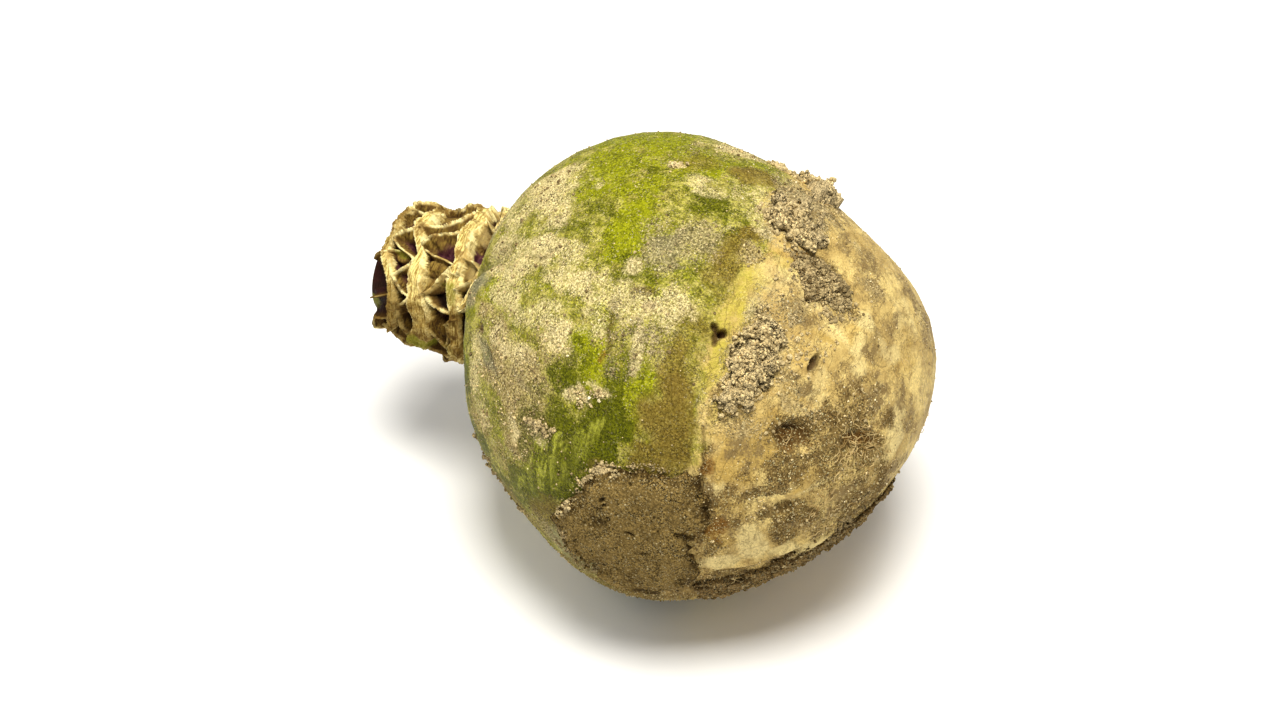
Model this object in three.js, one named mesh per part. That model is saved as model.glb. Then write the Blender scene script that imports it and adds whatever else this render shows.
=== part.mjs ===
// A rutabaga lying on its side: the swollen root, its short neck with rings of old leaf scars, and the
// dried soil that sticks to the skin. Millimetres, +Z up. The neck points to -X and the root end to +X.
// The origin is on the ground, under the middle of the round root.
//
// A place on the skin is given by two angles about the middle of the root, in degrees: "away" is counted
// from the neck (0) to the root end (180), and "around" from the top (0) over the front, which faces -Y
// (90), to the underside (180). A place on the neck is given by "along", in mm from the body to the tip,
// and by the same "around".
import * as THREE from "three";
import { mergeVertices } from "three/addons/utils/BufferGeometryUtils.js";

// ---- driving dimensions ----
const bodyRadius = 57.5; // the round root before its swells
const restDepth = 1.6; // how far the underside is flattened where the root rests
const neckRadius = 20; // the neck's skin at its foot
const neckTipRadius = 14.5; // the neck's skin at its tip
const neckLength = 33;
const tipSlant = 2; // how much longer the neck is at the front than at the back
const neckLean = 11; // degrees that the neck bends towards the front
const neckLift = 3; // degrees that it rises towards its tip
const neckBend = 8; // length of neck over which it bends
const footReach = 59.5; // distance from the middle of the root to the foot of the neck
const tipHollow = 3; // depth of the dished end of the neck
const columns = 80; // facets around the root and the neck
const bodyRows = 24;
const neckRows = 38;
const skinGap = 0.4; // clearance between the soil and the skin

// Broad swells (+) and hollows (-) that make the root lopsided: where they face, how far they reach in
// degrees, and their height in mm.
const swells = [
  { name: "back of the root end", toward: [0.85, 0.5, 0.16], reach: 26, rise: 3.2 },
  { name: "hollow behind the top", toward: [0.46, 0.75, 0.47], reach: 24, rise: -4.0 },
  { name: "dip at the back", toward: [0.0, 0.73, 0.69], reach: 24, rise: -2.8 },
  { name: "back of the crown", toward: [-0.44, 0.53, 0.72], reach: 24, rise: 2.5 },
  { name: "back shoulder", toward: [-0.74, 0.26, 0.62], reach: 24, rise: 3.8 },
  { name: "shoulder over the neck", toward: [-0.92, -0.09, 0.39], reach: 24, rise: 4.0 },
  { name: "front shoulder", toward: [-0.81, -0.57, -0.13], reach: 24, rise: 2.5 },
  { name: "front cheek", toward: [0.04, -0.71, -0.7], reach: 26, rise: 4.0 },
  { name: "hollow under the root end", toward: [0.61, -0.4, -0.69], reach: 24, rise: -2.0 },
  { name: "underside of the root end", toward: [0.91, 0.05, -0.42], reach: 24, rise: -1.5 },
  { name: "blunt root end", toward: [0.97, -0.22, 0.1], reach: 18, rise: 3.0 },
  { name: "far cheek", toward: [0.1, 0.88, -0.46], reach: 30, rise: 2.0 },
];

// The rings of leaf scars: flat-topped bands round the neck. "along" is where a band sits, and it dips
// towards the body by "dip" round the angle "at", over "spread" degrees.
const rings = [
  { along: 3.6, dip: -4.2, at: 66, spread: 20, width: 2.4, rise: 2.4 },
  { along: 12.0, dip: 2.6, at: 66, spread: 28, width: 2.8, rise: 2.8 },
  { along: 23.4, dip: 3.6, at: 80, spread: 42, width: 3.2, rise: 3.0 },
  { along: 30.2, dip: 2.8, at: 84, spread: 40, width: 2.0, rise: 2.6 },
];

// The slanting struts between one ring and the next: the angle where each leaves the ring nearer the body,
// and the angle where it meets the next one. The last gap runs to the tip.
const struts = [
  [[-36, -22], [4, -8], [30, 20], [46, 58], [96, 112],
    [150, 132], [172, 188], [222, 206], [250, 268], [296, 280]],
  [[-34, -6], [6, 22], [38, 64], [74, 76], [98, 90],
    [128, 146], [178, 162], [206, 224], [256, 238], [284, 302]],
  [[-34, -18], [6, 24], [36, 30], [40, 54], [68, 58], [70, 90],
    [114, 92], [150, 168], [196, 182], [220, 238], [268, 252], [290, 306]],
  [[-6, -20], [31, 38], [60, 66], [98, 88], [140, 150], [190, 176], [232, 240], [280, 270]],
];
const strutRise = 1.7;
const strutWidth = 1.3;
const cellSag = 0.7; // how far the scar faces sink between the ridges
const ridgeFall = 0.9; // the run of a ring's flank, from its flat top down to the skin
const ringSway = 0.5; // how far a ring wanders along the neck on its way round
const ringWear = 0.18; // share by which its height goes up and down on its way round
const ridgeLean = 0.3; // how far the ridges lean towards the tip, as a share of their height
const footBlend = 5; // length of neck over which it grows out of the round root
const tipRows = [0.82, 0.5, 0]; // the circles of the dished end, as shares of its rim

// Dried soil. Each patch is centred at (away, around). Its outline is in mm over the skin from there:
// first towards the root end, then down over the front.
const soilPatches = [
  {
    name: "soil_cake_front",
    at: [102, 90],
    outline: [[-22, 8], [-16, -4], [-12, -12], [-7, -16], [0, -16], [6, -17], [12, -17], [16, -15], [17, -5],
      [14, 5], [15, 16], [9, 25], [-1, 30], [-13, 31], [-22, 22]],
    thickness: 1.7,
    lumpHeight: 0.6,
    lumpSize: 2.2,
  },
  {
    name: "soil_clods_top",
    at: [112, -18],
    outline: [[6, -15], [9, -6], [9, 2], [11, 11], [6, 17], [-2, 17], [-6, 12], [-8, 5], [-12, 0], [-11, -9],
      [-6, -17], [1, -20]],
    thickness: 2.0,
    lumpHeight: 2.2,
    lumpSize: 1.1,
  },
  {
    name: "soil_clods_side",
    at: [126, 7],
    outline: [[-8, 1], [-5, -5], [1, -6], [7, -5], [9, -1], [6, 4], [0, 6], [-5, 5]],
    thickness: 1.2,
    lumpHeight: 1.2,
    lumpSize: 0.9,
  },
  {
    name: "soil_clods_middle",
    at: [120, 40],
    outline: [[3, -12], [6, -9], [5, -4], [6, 2], [4, 9], [-3, 12], [-6, 9], [-4, 4], [-5, -2], [-4, -8],
      [-1, -13]],
    thickness: 1.4,
    lumpHeight: 1.5,
    lumpSize: 0.9,
  },
  {
    name: "soil_underside",
    at: [128, 124],
    outline: [[-13, -8], [-3, -10], [8, -8], [19, -6], [31, -2], [41, 0], [47, 9], [44, 14], [33, 11],
      [20, 9], [7, 8], [-6, 7], [-14, 5]],
    thickness: 1.5,
    lumpHeight: 1.3,
    lumpSize: 1.3,
  },
];
const soilSpokes = 44;
const soilUnderRings = [0, 0.16, 0.33, 0.5, 0.67, 0.84, 1]; // circles of the underside, middle to rim
const soilTopRings = [1, 0.9, 0.75, 0.6, 0.45, 0.3, 0.15, 0]; // circles of the top, rim to middle
const soilRimThickness = 0.7;
const soilRimSlope = 4; // how steeply a patch thickens inwards from its rim
const soilRaggedness = 0.09; // share by which the outline goes in and out from spoke to spoke

// ---- small helpers ----
const radians = THREE.MathUtils.degToRad;

/** 1 at the middle of a bump and 0 far from it. */
function bump(distance, reach) {
  return Math.exp(-((distance / reach) ** 2));
}

/** The shortest turn from one angle to another, in degrees, -180 to 180. */
function turnBetween(from, to) {
  return THREE.MathUtils.euclideanModulo(to - from + 180, 360) - 180;
}

/** The direction from the middle of the root to a place on its skin. */
function skinDirection(away, around) {
  const a = radians(away);
  const b = radians(around);
  return new THREE.Vector3(-Math.cos(a), -Math.sin(a) * Math.sin(b), Math.sin(a) * Math.cos(b));
}

/** Distance from the middle of the root to its skin, in a direction. */
function skinRadius(direction) {
  let radius = bodyRadius;
  for (const swell of swells) {
    const facing = new THREE.Vector3(...swell.toward);
    radius += swell.rise * bump(THREE.MathUtils.radToDeg(facing.angleTo(direction)), swell.reach);
  }
  return radius;
}

const centreHeight = skinRadius(new THREE.Vector3(0, 0, -1)) - restDepth;

/** Turns a lathe's surface into a closed one: its seam and its two ends on the axis are merged. */
function closed(geometry) {
  geometry.deleteAttribute("normal");
  geometry.deleteAttribute("uv");
  const merged = mergeVertices(geometry, 1e-4);
  const kept = [];
  const index = merged.getIndex().array;
  for (let i = 0; i < index.length; i += 3) {
    const [a, b, c] = [index[i], index[i + 1], index[i + 2]];
    if (a !== b && b !== c && c !== a) {
      kept.push(a, b, c);
    }
  }
  merged.setIndex(kept);
  merged.computeVertexNormals();
  return merged;
}

// ---- the neck's relief ----

/** Where a ring of leaf scars runs at an angle, in mm along the neck. */
function ringAlong(number, around) {
  const ring = rings[number];
  const sway = ringSway * Math.sin(radians(3 * around + 130 * number));
  return ring.along - ring.dip * bump(turnBetween(ring.at, around), ring.spread) + sway;
}

/** The height of a flat-topped ridge of a width, at a distance from its middle. */
function band(distance, width, rise) {
  const brow = width / 2 - ridgeFall / 2;
  const base = width / 2 + ridgeFall;
  return rise * (1 - THREE.MathUtils.smoothstep(Math.abs(distance), brow, base));
}

/** Height of the struts in one gap between two rings. */
function strutHeight(gap, along, around, low, high) {
  const share = (along - low) / (high - low);
  if (share < 0 || share > 1) {
    return 0;
  }
  let height = 0;
  for (const [from, to] of struts[gap]) {
    const crest = from + (to - from) * share;
    const slant = (radians(to - from) * neckRadius) / (high - low);
    const offset = (radians(turnBetween(crest, around)) * neckRadius) / Math.hypot(1, slant);
    height = Math.max(height, strutRise * bump(offset, strutWidth));
  }
  return height;
}

/** Height of the neck's ridges over its skin: the rings, the struts between them and the sunken scars. */
function neckRelief(along, around) {
  const edges = rings.map((_, number) => ringAlong(number, around));
  let height = 0;
  edges.forEach((edge, number) => {
    const ring = rings[number];
    const wear = 1 + ringWear * Math.sin(radians(5 * around + 77 * number));
    height = Math.max(height, band(along - edge, ring.width, ring.rise * wear));
  });
  edges.push(neckLength + 1);
  for (let gap = 0; gap < edges.length - 1; gap += 1) {
    height = Math.max(height, strutHeight(gap, along, around, edges[gap], edges[gap + 1]));
  }
  const grown = THREE.MathUtils.smoothstep(along, 0, 0.6 * footBlend);
  return (height - cellSag * (1 - height / strutRise)) * grown;
}

const footAway = THREE.MathUtils.radToDeg(Math.asin(neckRadius / footReach));
const footAlong = footReach * Math.cos(radians(footAway));

/** A point of the neck, which is bent towards the front. */
function neckPoint(along, around, radius) {
  const reach = Math.min(Math.max(along, 0), neckBend);
  const turn = (radians(neckLean) * reach) / neckBend;
  const arc = neckBend / radians(neckLean);
  const straight = along - reach;
  const middleX = -footAlong - arc * Math.sin(turn) - straight * Math.cos(turn);
  const middleY = -arc * (1 - Math.cos(turn)) - straight * Math.sin(turn);
  const middleZ = along * Math.tan(radians(neckLift));
  const front = radius * Math.sin(radians(around));
  return new THREE.Vector3(
    middleX + front * Math.sin(turn),
    middleY - front * Math.cos(turn),
    middleZ + radius * Math.cos(radians(around)),
  );
}

// ---- the root with its neck, grown as one piece ----
/** The rows of the profile that the lathe turns, from the root end to the middle of the tip. */
function rootRows() {
  const rows = [];
  for (let i = 0; i <= bodyRows; i += 1) {
    rows.push({ part: "body", away: 180 - ((180 - footAway) * i) / bodyRows });
  }
  for (let i = 1; i <= neckRows; i += 1) {
    rows.push({ part: "neck", along: (neckLength * i) / neckRows });
  }
  for (const share of tipRows) {
    rows.push({ part: "tip", share });
  }
  return rows;
}

/** Where a row of the profile lies at an angle, measured from the middle of the root. */
function rootPoint(row, around) {
  if (row.part === "body") {
    const direction = skinDirection(row.away, around);
    return direction.multiplyScalar(skinRadius(direction));
  }
  const foot = rootPoint({ part: "body", away: footAway }, around);
  const along = row.part === "neck" ? row.along : neckLength;
  const slant = tipSlant * Math.sin(radians(around)) * (along / neckLength) ** 3;
  const taper = (along / neckLength) ** 0.8;
  const skin = THREE.MathUtils.lerp(neckRadius, neckTipRadius, taper);
  const relief = neckRelief(along, around);
  const lean = ridgeLean * Math.max(relief, 0);
  if (row.part === "tip") {
    if (row.share === 0) {
      return neckPoint(along - tipHollow, around, 0);
    }
    const uneven = 0.8 + 0.2 * Math.sin(radians(3 * around));
    const sunk = tipHollow * (1 - row.share ** 2) * uneven;
    return neckPoint(along + lean + slant * row.share - sunk, around, (skin + relief) * row.share);
  }
  const free = neckPoint(along + lean + slant, around, skin + relief);
  const bound = 1 - THREE.MathUtils.smoothstep(along, 0, footBlend);
  const rest = neckPoint(0, around, neckRadius);
  return free.addScaledVector(foot.sub(rest), bound);
}

function makeRoot() {
  const rows = rootRows();
  const profile = rows.map((row, number) => {
    const onAxis = number === 0 || number === rows.length - 1;
    return new THREE.Vector2(onAxis ? 0 : neckRadius, number);
  });
  const geometry = new THREE.LatheGeometry(profile, columns);
  const position = geometry.getAttribute("position");
  const uv = geometry.getAttribute("uv");
  for (let i = 0; i < position.count; i += 1) {
    const row = rows[Math.round(uv.getY(i) * (rows.length - 1))];
    const around = -360 * (uv.getX(i) % 1);
    const point = rootPoint(row, around);
    position.setXYZ(i, point.x, point.y, Math.max(point.z + centreHeight, 0));
  }
  return closed(geometry);
}

// ---- soil on the skin ----

/** Smooth seeded lumps over the skin, -1 to 1. */
function lumps(point, size, seed) {
  const a = Math.sin((point.x * 1.0 + point.y * 0.6) / size + seed);
  const b = Math.sin((point.y * 1.1 - point.z * 0.7) / size + 2.1 * seed);
  const c = Math.sin((point.z * 0.9 + point.x * 0.8) / size + 3.7 * seed);
  const d = Math.sin(((point.x - point.y + point.z) * 1.9) / size + 1.3 * seed);
  return (a + b + c + d) / 4;
}

/** A patch of soil: a lathed disc laid over the skin, its underside following the skin. */
function makeSoil(patch, seed) {
  const centre = skinDirection(...patch.at);
  const toEnd = new THREE.Vector3(1, 0, 0).addScaledVector(centre, -centre.x).normalize();
  const down = new THREE.Vector3().crossVectors(toEnd, centre);
  const corners = patch.outline.map(([end, front]) => new THREE.Vector3(end, front, 0));
  const outline = new THREE.CatmullRomCurve3(corners, true).getPoints(soilSpokes);
  const underside = soilUnderRings.map((share) => new THREE.Vector2(share, 0));
  const topside = soilTopRings.map((share) => new THREE.Vector2(share, 1));
  const profile = [...underside, ...topside];
  const geometry = new THREE.LatheGeometry(profile, soilSpokes);
  const position = geometry.getAttribute("position");
  const uv = geometry.getAttribute("uv");
  for (let i = 0; i < position.count; i += 1) {
    const { x: share, y: top } = profile[Math.round(uv.getY(i) * (profile.length - 1))];
    const spoke = (soilSpokes - Math.round(uv.getX(i) * soilSpokes)) % soilSpokes;
    const edge = outline[spoke];
    const jag = soilRaggedness * Math.sin(2.4 * spoke + seed) * Math.sin(1.3 * spoke + 2 * seed);
    const reach = (Math.hypot(edge.x, edge.y) * share * (1 + jag * share ** 6)) / bodyRadius;
    const heading = Math.atan2(edge.y, edge.x);
    const direction = centre
      .clone()
      .multiplyScalar(Math.cos(reach))
      .addScaledVector(toEnd, Math.sin(reach) * Math.cos(heading))
      .addScaledVector(down, Math.sin(reach) * Math.sin(heading));
    const skin = direction.clone().multiplyScalar(skinRadius(direction) + skinGap);
    const body = Math.min(1, soilRimSlope * (1 - share));
    const full = patch.thickness + patch.lumpHeight * lumps(skin, patch.lumpSize, seed);
    const thickness = top * THREE.MathUtils.lerp(soilRimThickness, Math.max(full, soilRimThickness), body);
    const point = skin.addScaledVector(direction, thickness);
    position.setXYZ(i, point.x, point.y, point.z + centreHeight);
  }
  return closed(geometry);
}

// ---- the scene graph ----
const skinMaterial = new THREE.MeshStandardMaterial({ color: "#a39a4e", roughness: 0.72, metalness: 0 });
const soilMaterial = new THREE.MeshStandardMaterial({ color: "#8a6f4c", roughness: 0.95, metalness: 0 });

function part(name, geometry, material) {
  const mesh = new THREE.Mesh(geometry, material.clone());
  mesh.name = name;
  return mesh;
}

const rutabaga = new THREE.Group();
rutabaga.name = "rutabaga";
rutabaga.add(part("root", makeRoot(), skinMaterial));
soilPatches.forEach((patch, number) => {
  rutabaga.add(part(patch.name, makeSoil(patch, number + 1), soilMaterial));
});

export default rutabaga;
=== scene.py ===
# %% [markdown]
# # A rutabaga, dressed over its measured frame
# This lesson gives a rutabaga its looks. The measured solids (the root and five patches of dried soil) come
# from the frame, in metres, with the neck towards -X, the front towards -Y and the ground at Z = 0. Each
# step makes one thing that a grower would name: the swollen root, its neck of leaf scars, the soil that
# dried on it, the loose grains, and the fine roots.

# %% Load the frame and keep its box
import math
import random

import bpy
import numpy as np
from mathutils import Matrix, Vector, noise
from mathutils.bvhtree import BVHTree


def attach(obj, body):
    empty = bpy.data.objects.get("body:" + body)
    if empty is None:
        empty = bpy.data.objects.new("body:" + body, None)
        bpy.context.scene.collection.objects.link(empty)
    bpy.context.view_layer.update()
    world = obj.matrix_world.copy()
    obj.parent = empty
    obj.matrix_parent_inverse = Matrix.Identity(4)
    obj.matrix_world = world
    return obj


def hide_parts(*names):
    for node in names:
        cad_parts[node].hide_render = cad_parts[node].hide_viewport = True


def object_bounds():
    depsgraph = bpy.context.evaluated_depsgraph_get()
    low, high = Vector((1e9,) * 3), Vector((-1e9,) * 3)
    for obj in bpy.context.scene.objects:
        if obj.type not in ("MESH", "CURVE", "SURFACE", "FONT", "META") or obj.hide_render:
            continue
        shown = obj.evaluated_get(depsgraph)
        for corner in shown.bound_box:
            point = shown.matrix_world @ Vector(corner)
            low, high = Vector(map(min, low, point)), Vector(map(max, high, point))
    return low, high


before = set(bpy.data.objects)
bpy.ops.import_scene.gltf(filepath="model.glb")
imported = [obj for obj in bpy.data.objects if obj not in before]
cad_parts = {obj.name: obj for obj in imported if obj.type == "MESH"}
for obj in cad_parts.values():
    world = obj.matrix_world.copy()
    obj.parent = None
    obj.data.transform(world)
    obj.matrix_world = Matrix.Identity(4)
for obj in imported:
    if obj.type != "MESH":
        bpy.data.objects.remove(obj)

cad_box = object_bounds()
bpy.ops.object.select_all(action="DESELECT")
MM = 0.001
print("CAD box in mm:", [[round(v / MM, 1) for v in corner] for corner in cad_box])

# %% [markdown]
# ## The camera
# The root is seen from its front right, from well above. A camera is easiest to aim by two angles: the
# azimuth round the object and the elevation over the floor. From them come three directions (right, up and
# back towards the lens). The lens is a long one, set 600 mm away, so that the root shows with little
# distortion.

# %% Camera
AZIMUTH = math.radians(28.5)
ELEVATION = math.radians(43.0)
CAMERA_DISTANCE = 600 * MM
LENS = 65.81  # mm
SENSOR_WIDTH = 36  # mm
MIDDLE = Vector((0, 0, 55.99 * MM))  # the middle of the round root
AIM_LEFT = 15.4 * MM  # how far the aim lies left of the middle of the root
AIM_UP = 1.8 * MM  # and above it

right = Vector((math.cos(AZIMUTH), math.sin(AZIMUTH), 0))
back = Vector((
    math.sin(AZIMUTH) * math.cos(ELEVATION),
    -math.cos(AZIMUTH) * math.cos(ELEVATION),
    math.sin(ELEVATION),
))
up = back.cross(right)
eye = MIDDLE - AIM_LEFT * right + AIM_UP * up + CAMERA_DISTANCE * back

bpy.ops.object.camera_add(location=eye, rotation=Matrix((right, up, back)).transposed().to_euler())
camera = bpy.context.object
camera.data.lens = LENS
camera.data.sensor_width = SENSOR_WIDTH
camera.data.clip_start = 10 * MM
bpy.context.scene.camera = camera
print("Camera at", [round(v, 3) for v in eye])

# %% [markdown]
# ## Floor and light
# A pale floor, a pale sky and two large soft lamps: a key lamp high over the front, and a weaker fill on
# the left. A small lamp would draw a sharp shadow. Big ones close to the root wrap it in light, as a bright
# cloudy day does. The plain "Standard" view doesn't grey the strong colours of soil and skin.

# %% Floor and lamps
FLOOR_SIZE = 6  # metres
FLOOR_TONE = 0.92
WARM_WHITE = (1.0, 0.97, 0.90)
SKY_STRENGTH = 0.36


def lamp(name, azimuth, elevation, distance, size, power):
    """A square lamp that looks at the root from two angles."""
    a, e = math.radians(azimuth), math.radians(elevation)
    away = Vector((math.sin(a) * math.cos(e), -math.cos(a) * math.cos(e), math.sin(e)))
    bpy.ops.object.light_add(type="AREA", location=MIDDLE + distance * away)
    light = bpy.context.object
    light.name = name
    light.rotation_euler = away.to_track_quat("Z", "Y").to_euler()
    light.data.size = size
    light.data.energy = power
    light.data.color = WARM_WHITE
    return light


bpy.ops.mesh.primitive_plane_add(size=FLOOR_SIZE, location=(0, 0, 0))
floor = bpy.context.object
floor.name = "floor"
floor_finish = bpy.data.materials.new("pale_floor")
floor_finish.use_nodes = True
floor_shader = floor_finish.node_tree.nodes["Principled BSDF"]
floor_shader.inputs["Base Color"].default_value = (FLOOR_TONE, FLOOR_TONE, FLOOR_TONE, 1)
floor_shader.inputs["Roughness"].default_value = 0.9
floor.data.materials.append(floor_finish)

lamp("key", azimuth=40, elevation=80, distance=1.1, size=0.45, power=17)
lamp("fill", azimuth=-75, elevation=40, distance=1.3, size=0.9, power=4.0)

sky = bpy.data.worlds.new("pale_sky")
sky.use_nodes = True
sky_light = sky.node_tree.nodes["Background"]
sky_light.inputs["Color"].default_value = (1.0, 1.0, 1.0, 1)
sky_light.inputs["Strength"].default_value = SKY_STRENGTH
bpy.context.scene.world = sky
bpy.context.scene.view_settings.view_transform = "Standard"
print("Floor, two lamps and a sky are in place")

# %% [markdown]
# ## Places on the skin
# A rutabaga has no corners to measure from, so every mark on it is placed by two angles seen from its
# middle: "away" runs from the neck (0) to the root end (180), and "around" from the top (0) over the front
# (90) to the underside (180). A mark is then a soft oval or a thin line on the skin. Working on whole lists
# of points at once (with numpy) keeps a mesh of a hundred thousand points quick.

# %% Skin places
def smooth_step(value, low, high):
    """0 below low, 1 above high, and a smooth rise between them."""
    t = np.clip((value - low) / (high - low), 0, 1)
    return t * t * (3 - 2 * t)


def outward_rays(points):
    """Unit rays from the middle of the root through points."""
    rays = points - np.array(MIDDLE)
    return rays / np.linalg.norm(rays, axis=1, keepdims=True)


def skin_angles(points):
    """The away and around angles of points, in degrees."""
    rays = outward_rays(points)
    away = np.degrees(np.arccos(np.clip(-rays[:, 0], -1, 1)))
    around = np.degrees(np.arctan2(-rays[:, 1], rays[:, 2]))
    return away, around


def skin_direction(away, around):
    """The direction from the middle of the root to a place on its skin."""
    a, b = math.radians(away), math.radians(around)
    return Vector((-math.cos(a), -math.sin(a) * math.sin(b), math.sin(a) * math.cos(b)))


def turn_between(start, end):
    """The shortest turn between angles, in degrees, -180 to 180."""
    return (end - start + 180) % 360 - 180


def oval(away, around, spot):
    """How strongly an oval mark covers each place: its strength inside, 0 past its soft edge.

    A spot is a place, two half sizes, a strength and, if it is turned, its turn in degrees.
    """
    at_away, at_around, half_away, half_around, strength, *turn = spot
    x = away - at_away
    y = turn_between(at_around, around)
    turn = math.radians(sum(turn))  # 0 where the spot has none
    c, s = math.cos(turn), math.sin(turn)
    reach = np.hypot((c * x + s * y) / half_away, (c * y - s * x) / half_around)
    return strength * (1 - smooth_step(reach, 0.65, 1.4))


def cover(away, around, spots, warp=None):
    """Several ovals laid over each other. A warp, in degrees, bends their outlines, small ones less."""
    total = np.zeros(len(away))
    for spot in spots:
        bend = 0 if warp is None else warp * min(1, min(spot[2], spot[3]) / 6)
        bend_away, bend_around = (0, 0) if warp is None else bend
        total = np.maximum(total, oval(away + bend_away, around + bend_around, spot))
    return total


def along_line(away, around, corners, width):
    """1 on a line through (away, around) corners, 0 a width (in degrees) off it."""
    nearest = np.full(len(away), 1e9)
    squeeze = np.sin(np.radians(np.clip(away, 5, 175)))
    for (a0, b0), (a1, b1) in zip(corners, corners[1:]):
        x, y = away - a0, turn_between(b0, around) * squeeze
        dx, dy = a1 - a0, (b1 - b0) * math.sin(math.radians((a0 + a1) / 2))
        t = np.clip((x * dx + y * dy) / (dx * dx + dy * dy), 0, 1)
        nearest = np.minimum(nearest, np.hypot(x - t * dx, y - t * dy))
    return 1 - smooth_step(nearest, 0.25 * width, width)


def noise_at(points, size, octaves=3, shift=0.0):
    """Cloudy noise, about -1 to 1, with lumps of a size in mm."""
    scale = 1 / (size * MM)
    start = Vector((shift,) * 3)
    return np.array([noise.fractal(Vector(point) * scale + start, 1.0, 2.0, octaves) for point in points])


def layered_noise(points, layers):
    """Noise summed from layers of (height, lump size in mm, octaves, shift)."""
    return sum(height * noise_at(points, size, octaves, shift) for height, size, octaves, shift in layers)


print("A place at (90, 90) faces", [round(v, 2) for v in skin_direction(90, 90)])

# %% [markdown]
# ## The swollen root: shape
# The skin needs even, small faces all over, so that cracks and dents can be pressed into it anywhere. A
# plain UV sphere crowds its faces at two poles. A cube whose faces are divided and then blown up to a ball
# doesn't, and a Shrinkwrap modifier then lays the ball on the measured root. A few rounds of smoothing take
# away the flat facets of the measured solid. Where the neck grows out, the ball simply carries on inside.

# %% Blow a divided cube up to the measured root
def points_of(piece):
    """A piece's points as an array."""
    flat = np.empty(len(piece.data.vertices) * 3)
    piece.data.vertices.foreach_get("co", flat)
    return flat.reshape(-1, 3)


def move_points(piece, points):
    """Puts a piece's points at new places."""
    piece.data.vertices.foreach_set("co", points.ravel())
    piece.data.update()


def only(piece):
    """Selects one piece and makes it the active one."""
    bpy.ops.object.select_all(action="DESELECT")
    piece.select_set(True)
    bpy.context.view_layer.objects.active = piece


def apply_modifier(piece, kind, **settings):
    """Adds a modifier with its settings, and applies it."""
    modifier = piece.modifiers.new(kind.lower(), kind)
    for name, value in settings.items():
        setattr(modifier, name, value)
    only(piece)
    bpy.ops.object.modifier_apply(modifier=modifier.name)


FIRST_CUTS = 58  # and every face is then cut in four
ROOT_RADIUS = 58  # mm, about that of the measured root
NECK_FOOT_AWAY = 20.5  # degrees: nearer the neck's axis than this, the ball is hidden inside the neck
SMOOTHING = 0.5
SMOOTHING_ROUNDS = 14

bpy.ops.mesh.primitive_cube_add(size=2, location=(0, 0, 0))
root = bpy.context.object
root.name = "swollen_root"
bpy.ops.object.mode_set(mode="EDIT")
bpy.ops.mesh.select_all(action="SELECT")
bpy.ops.mesh.subdivide(number_cuts=FIRST_CUTS)
bpy.ops.mesh.subdivide(number_cuts=1)
bpy.ops.object.mode_set(mode="OBJECT")

ball = np.tan(points_of(root) * math.pi / 4)  # even spacing once it is blown up
ball /= np.linalg.norm(ball, axis=1, keepdims=True)
move_points(root, ball * (ROOT_RADIUS * MM) + np.array(MIDDLE))

away, around = skin_angles(points_of(root))
free_skin = root.vertex_groups.new(name="free_skin")
free_skin.add([int(i) for i in np.nonzero(away > NECK_FOOT_AWAY + 0.5)[0]], 1.0, "REPLACE")
apply_modifier(
    root, "SHRINKWRAP", target=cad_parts["root"], wrap_method="PROJECT",
    use_negative_direction=True, use_positive_direction=True, vertex_group="free_skin",
)
apply_modifier(root, "SMOOTH", factor=SMOOTHING, iterations=SMOOTHING_ROUNDS)
print("Root faces:", len(root.data.polygons))

# %% [markdown]
# ## The swollen root: its dents, cracks and folds
# Up close the skin isn't smooth. It has a heart-shaped hole bored by an insect, a long crack, a slit, rotten
# pits, bulges, and folds by the neck. They could be pressed in with a sculpting brush, but a brush stroke
# can't be written down. So each is a named oval or line with a height in millimetres (below zero for a
# hollow), and a later change is one number.

# %% Dents, cracks and folds
# each dent's last number, how dark it is, is painted shade in its hollow (partly real rot in the rotten pits)
DENTS = [  # away, around, half sizes in degrees, height in mm, turn if it has one; how dark it is
    ("left lobe of the insect hole", (108.7, 33.3, 1.1, 0.8, -2.2, 38), 0.9),
    ("right lobe of the insect hole", (111, 33.9, 1, 1, -2.6, 20), 1),
    ("middle of the insect hole", (109.9, 35.1, 1, 1.3, -2.2), 0.9),
    ("foot of the insect hole", (110.2, 37, 0.6, 0.8, -1.4), 0.75),
    ("slit", (134.2, 29.6, 1.15, 3.3, -1.7, 4), 0.95),
    ("rotten pit", (136, 55, 4.8, 4.4, -1.9, 10), 0.5),
    ("mouth of the rotten pit", (134.5, 52, 2.2, 1.2, -0.7), 0.35),
    ("pit of the fine roots", (154, 52, 5, 6, -1.3), 0.15),
    ("pit by the side", (137.3, 82.5, 2.2, 3, -1.2), 0.2),
    ("hollow under the clods", (131, 14, 7, 3.5, -0.6), 0),
    ("dent beside the yellow skin", (100.5, 41, 3, 9, -0.5, 12), 0),
    ("dark lens by the neck", (42.6, 58, 0.8, 1.6, -0.6), 0.2),
    ("blue streak", (49, 64.5, 5.5, 1.5, -0.8, 28), 0),
    ("shoulder bulge", (34, 55, 7, 22, 0.9), 0),
    ("lobe under the fold", (37, 50, 9, 11, 1), 0),
    ("swell of pale skin", (141.5, 5, 3.5, 5, 0.9), 0),
    ("swell under the pale band", (143, 114, 9, 3, 1.1, -14), 0),
    ("old scar", (94, 32.5, 7, 4, 0.5, 8), 0),
    ("tan patch by the shoulder", (55, 25.5, 8, 3, 0.35, -6), 0),
    ("hollow on the back", (84, -96, 9, 12, -1, 10), 0),
    ("rotten pit on the back", (143, -118, 5, 6, -1.8), 0.5),
    ("fine-root pit on the back", (152, -132, 6, 8, -1.2), 0.3),
]
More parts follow.
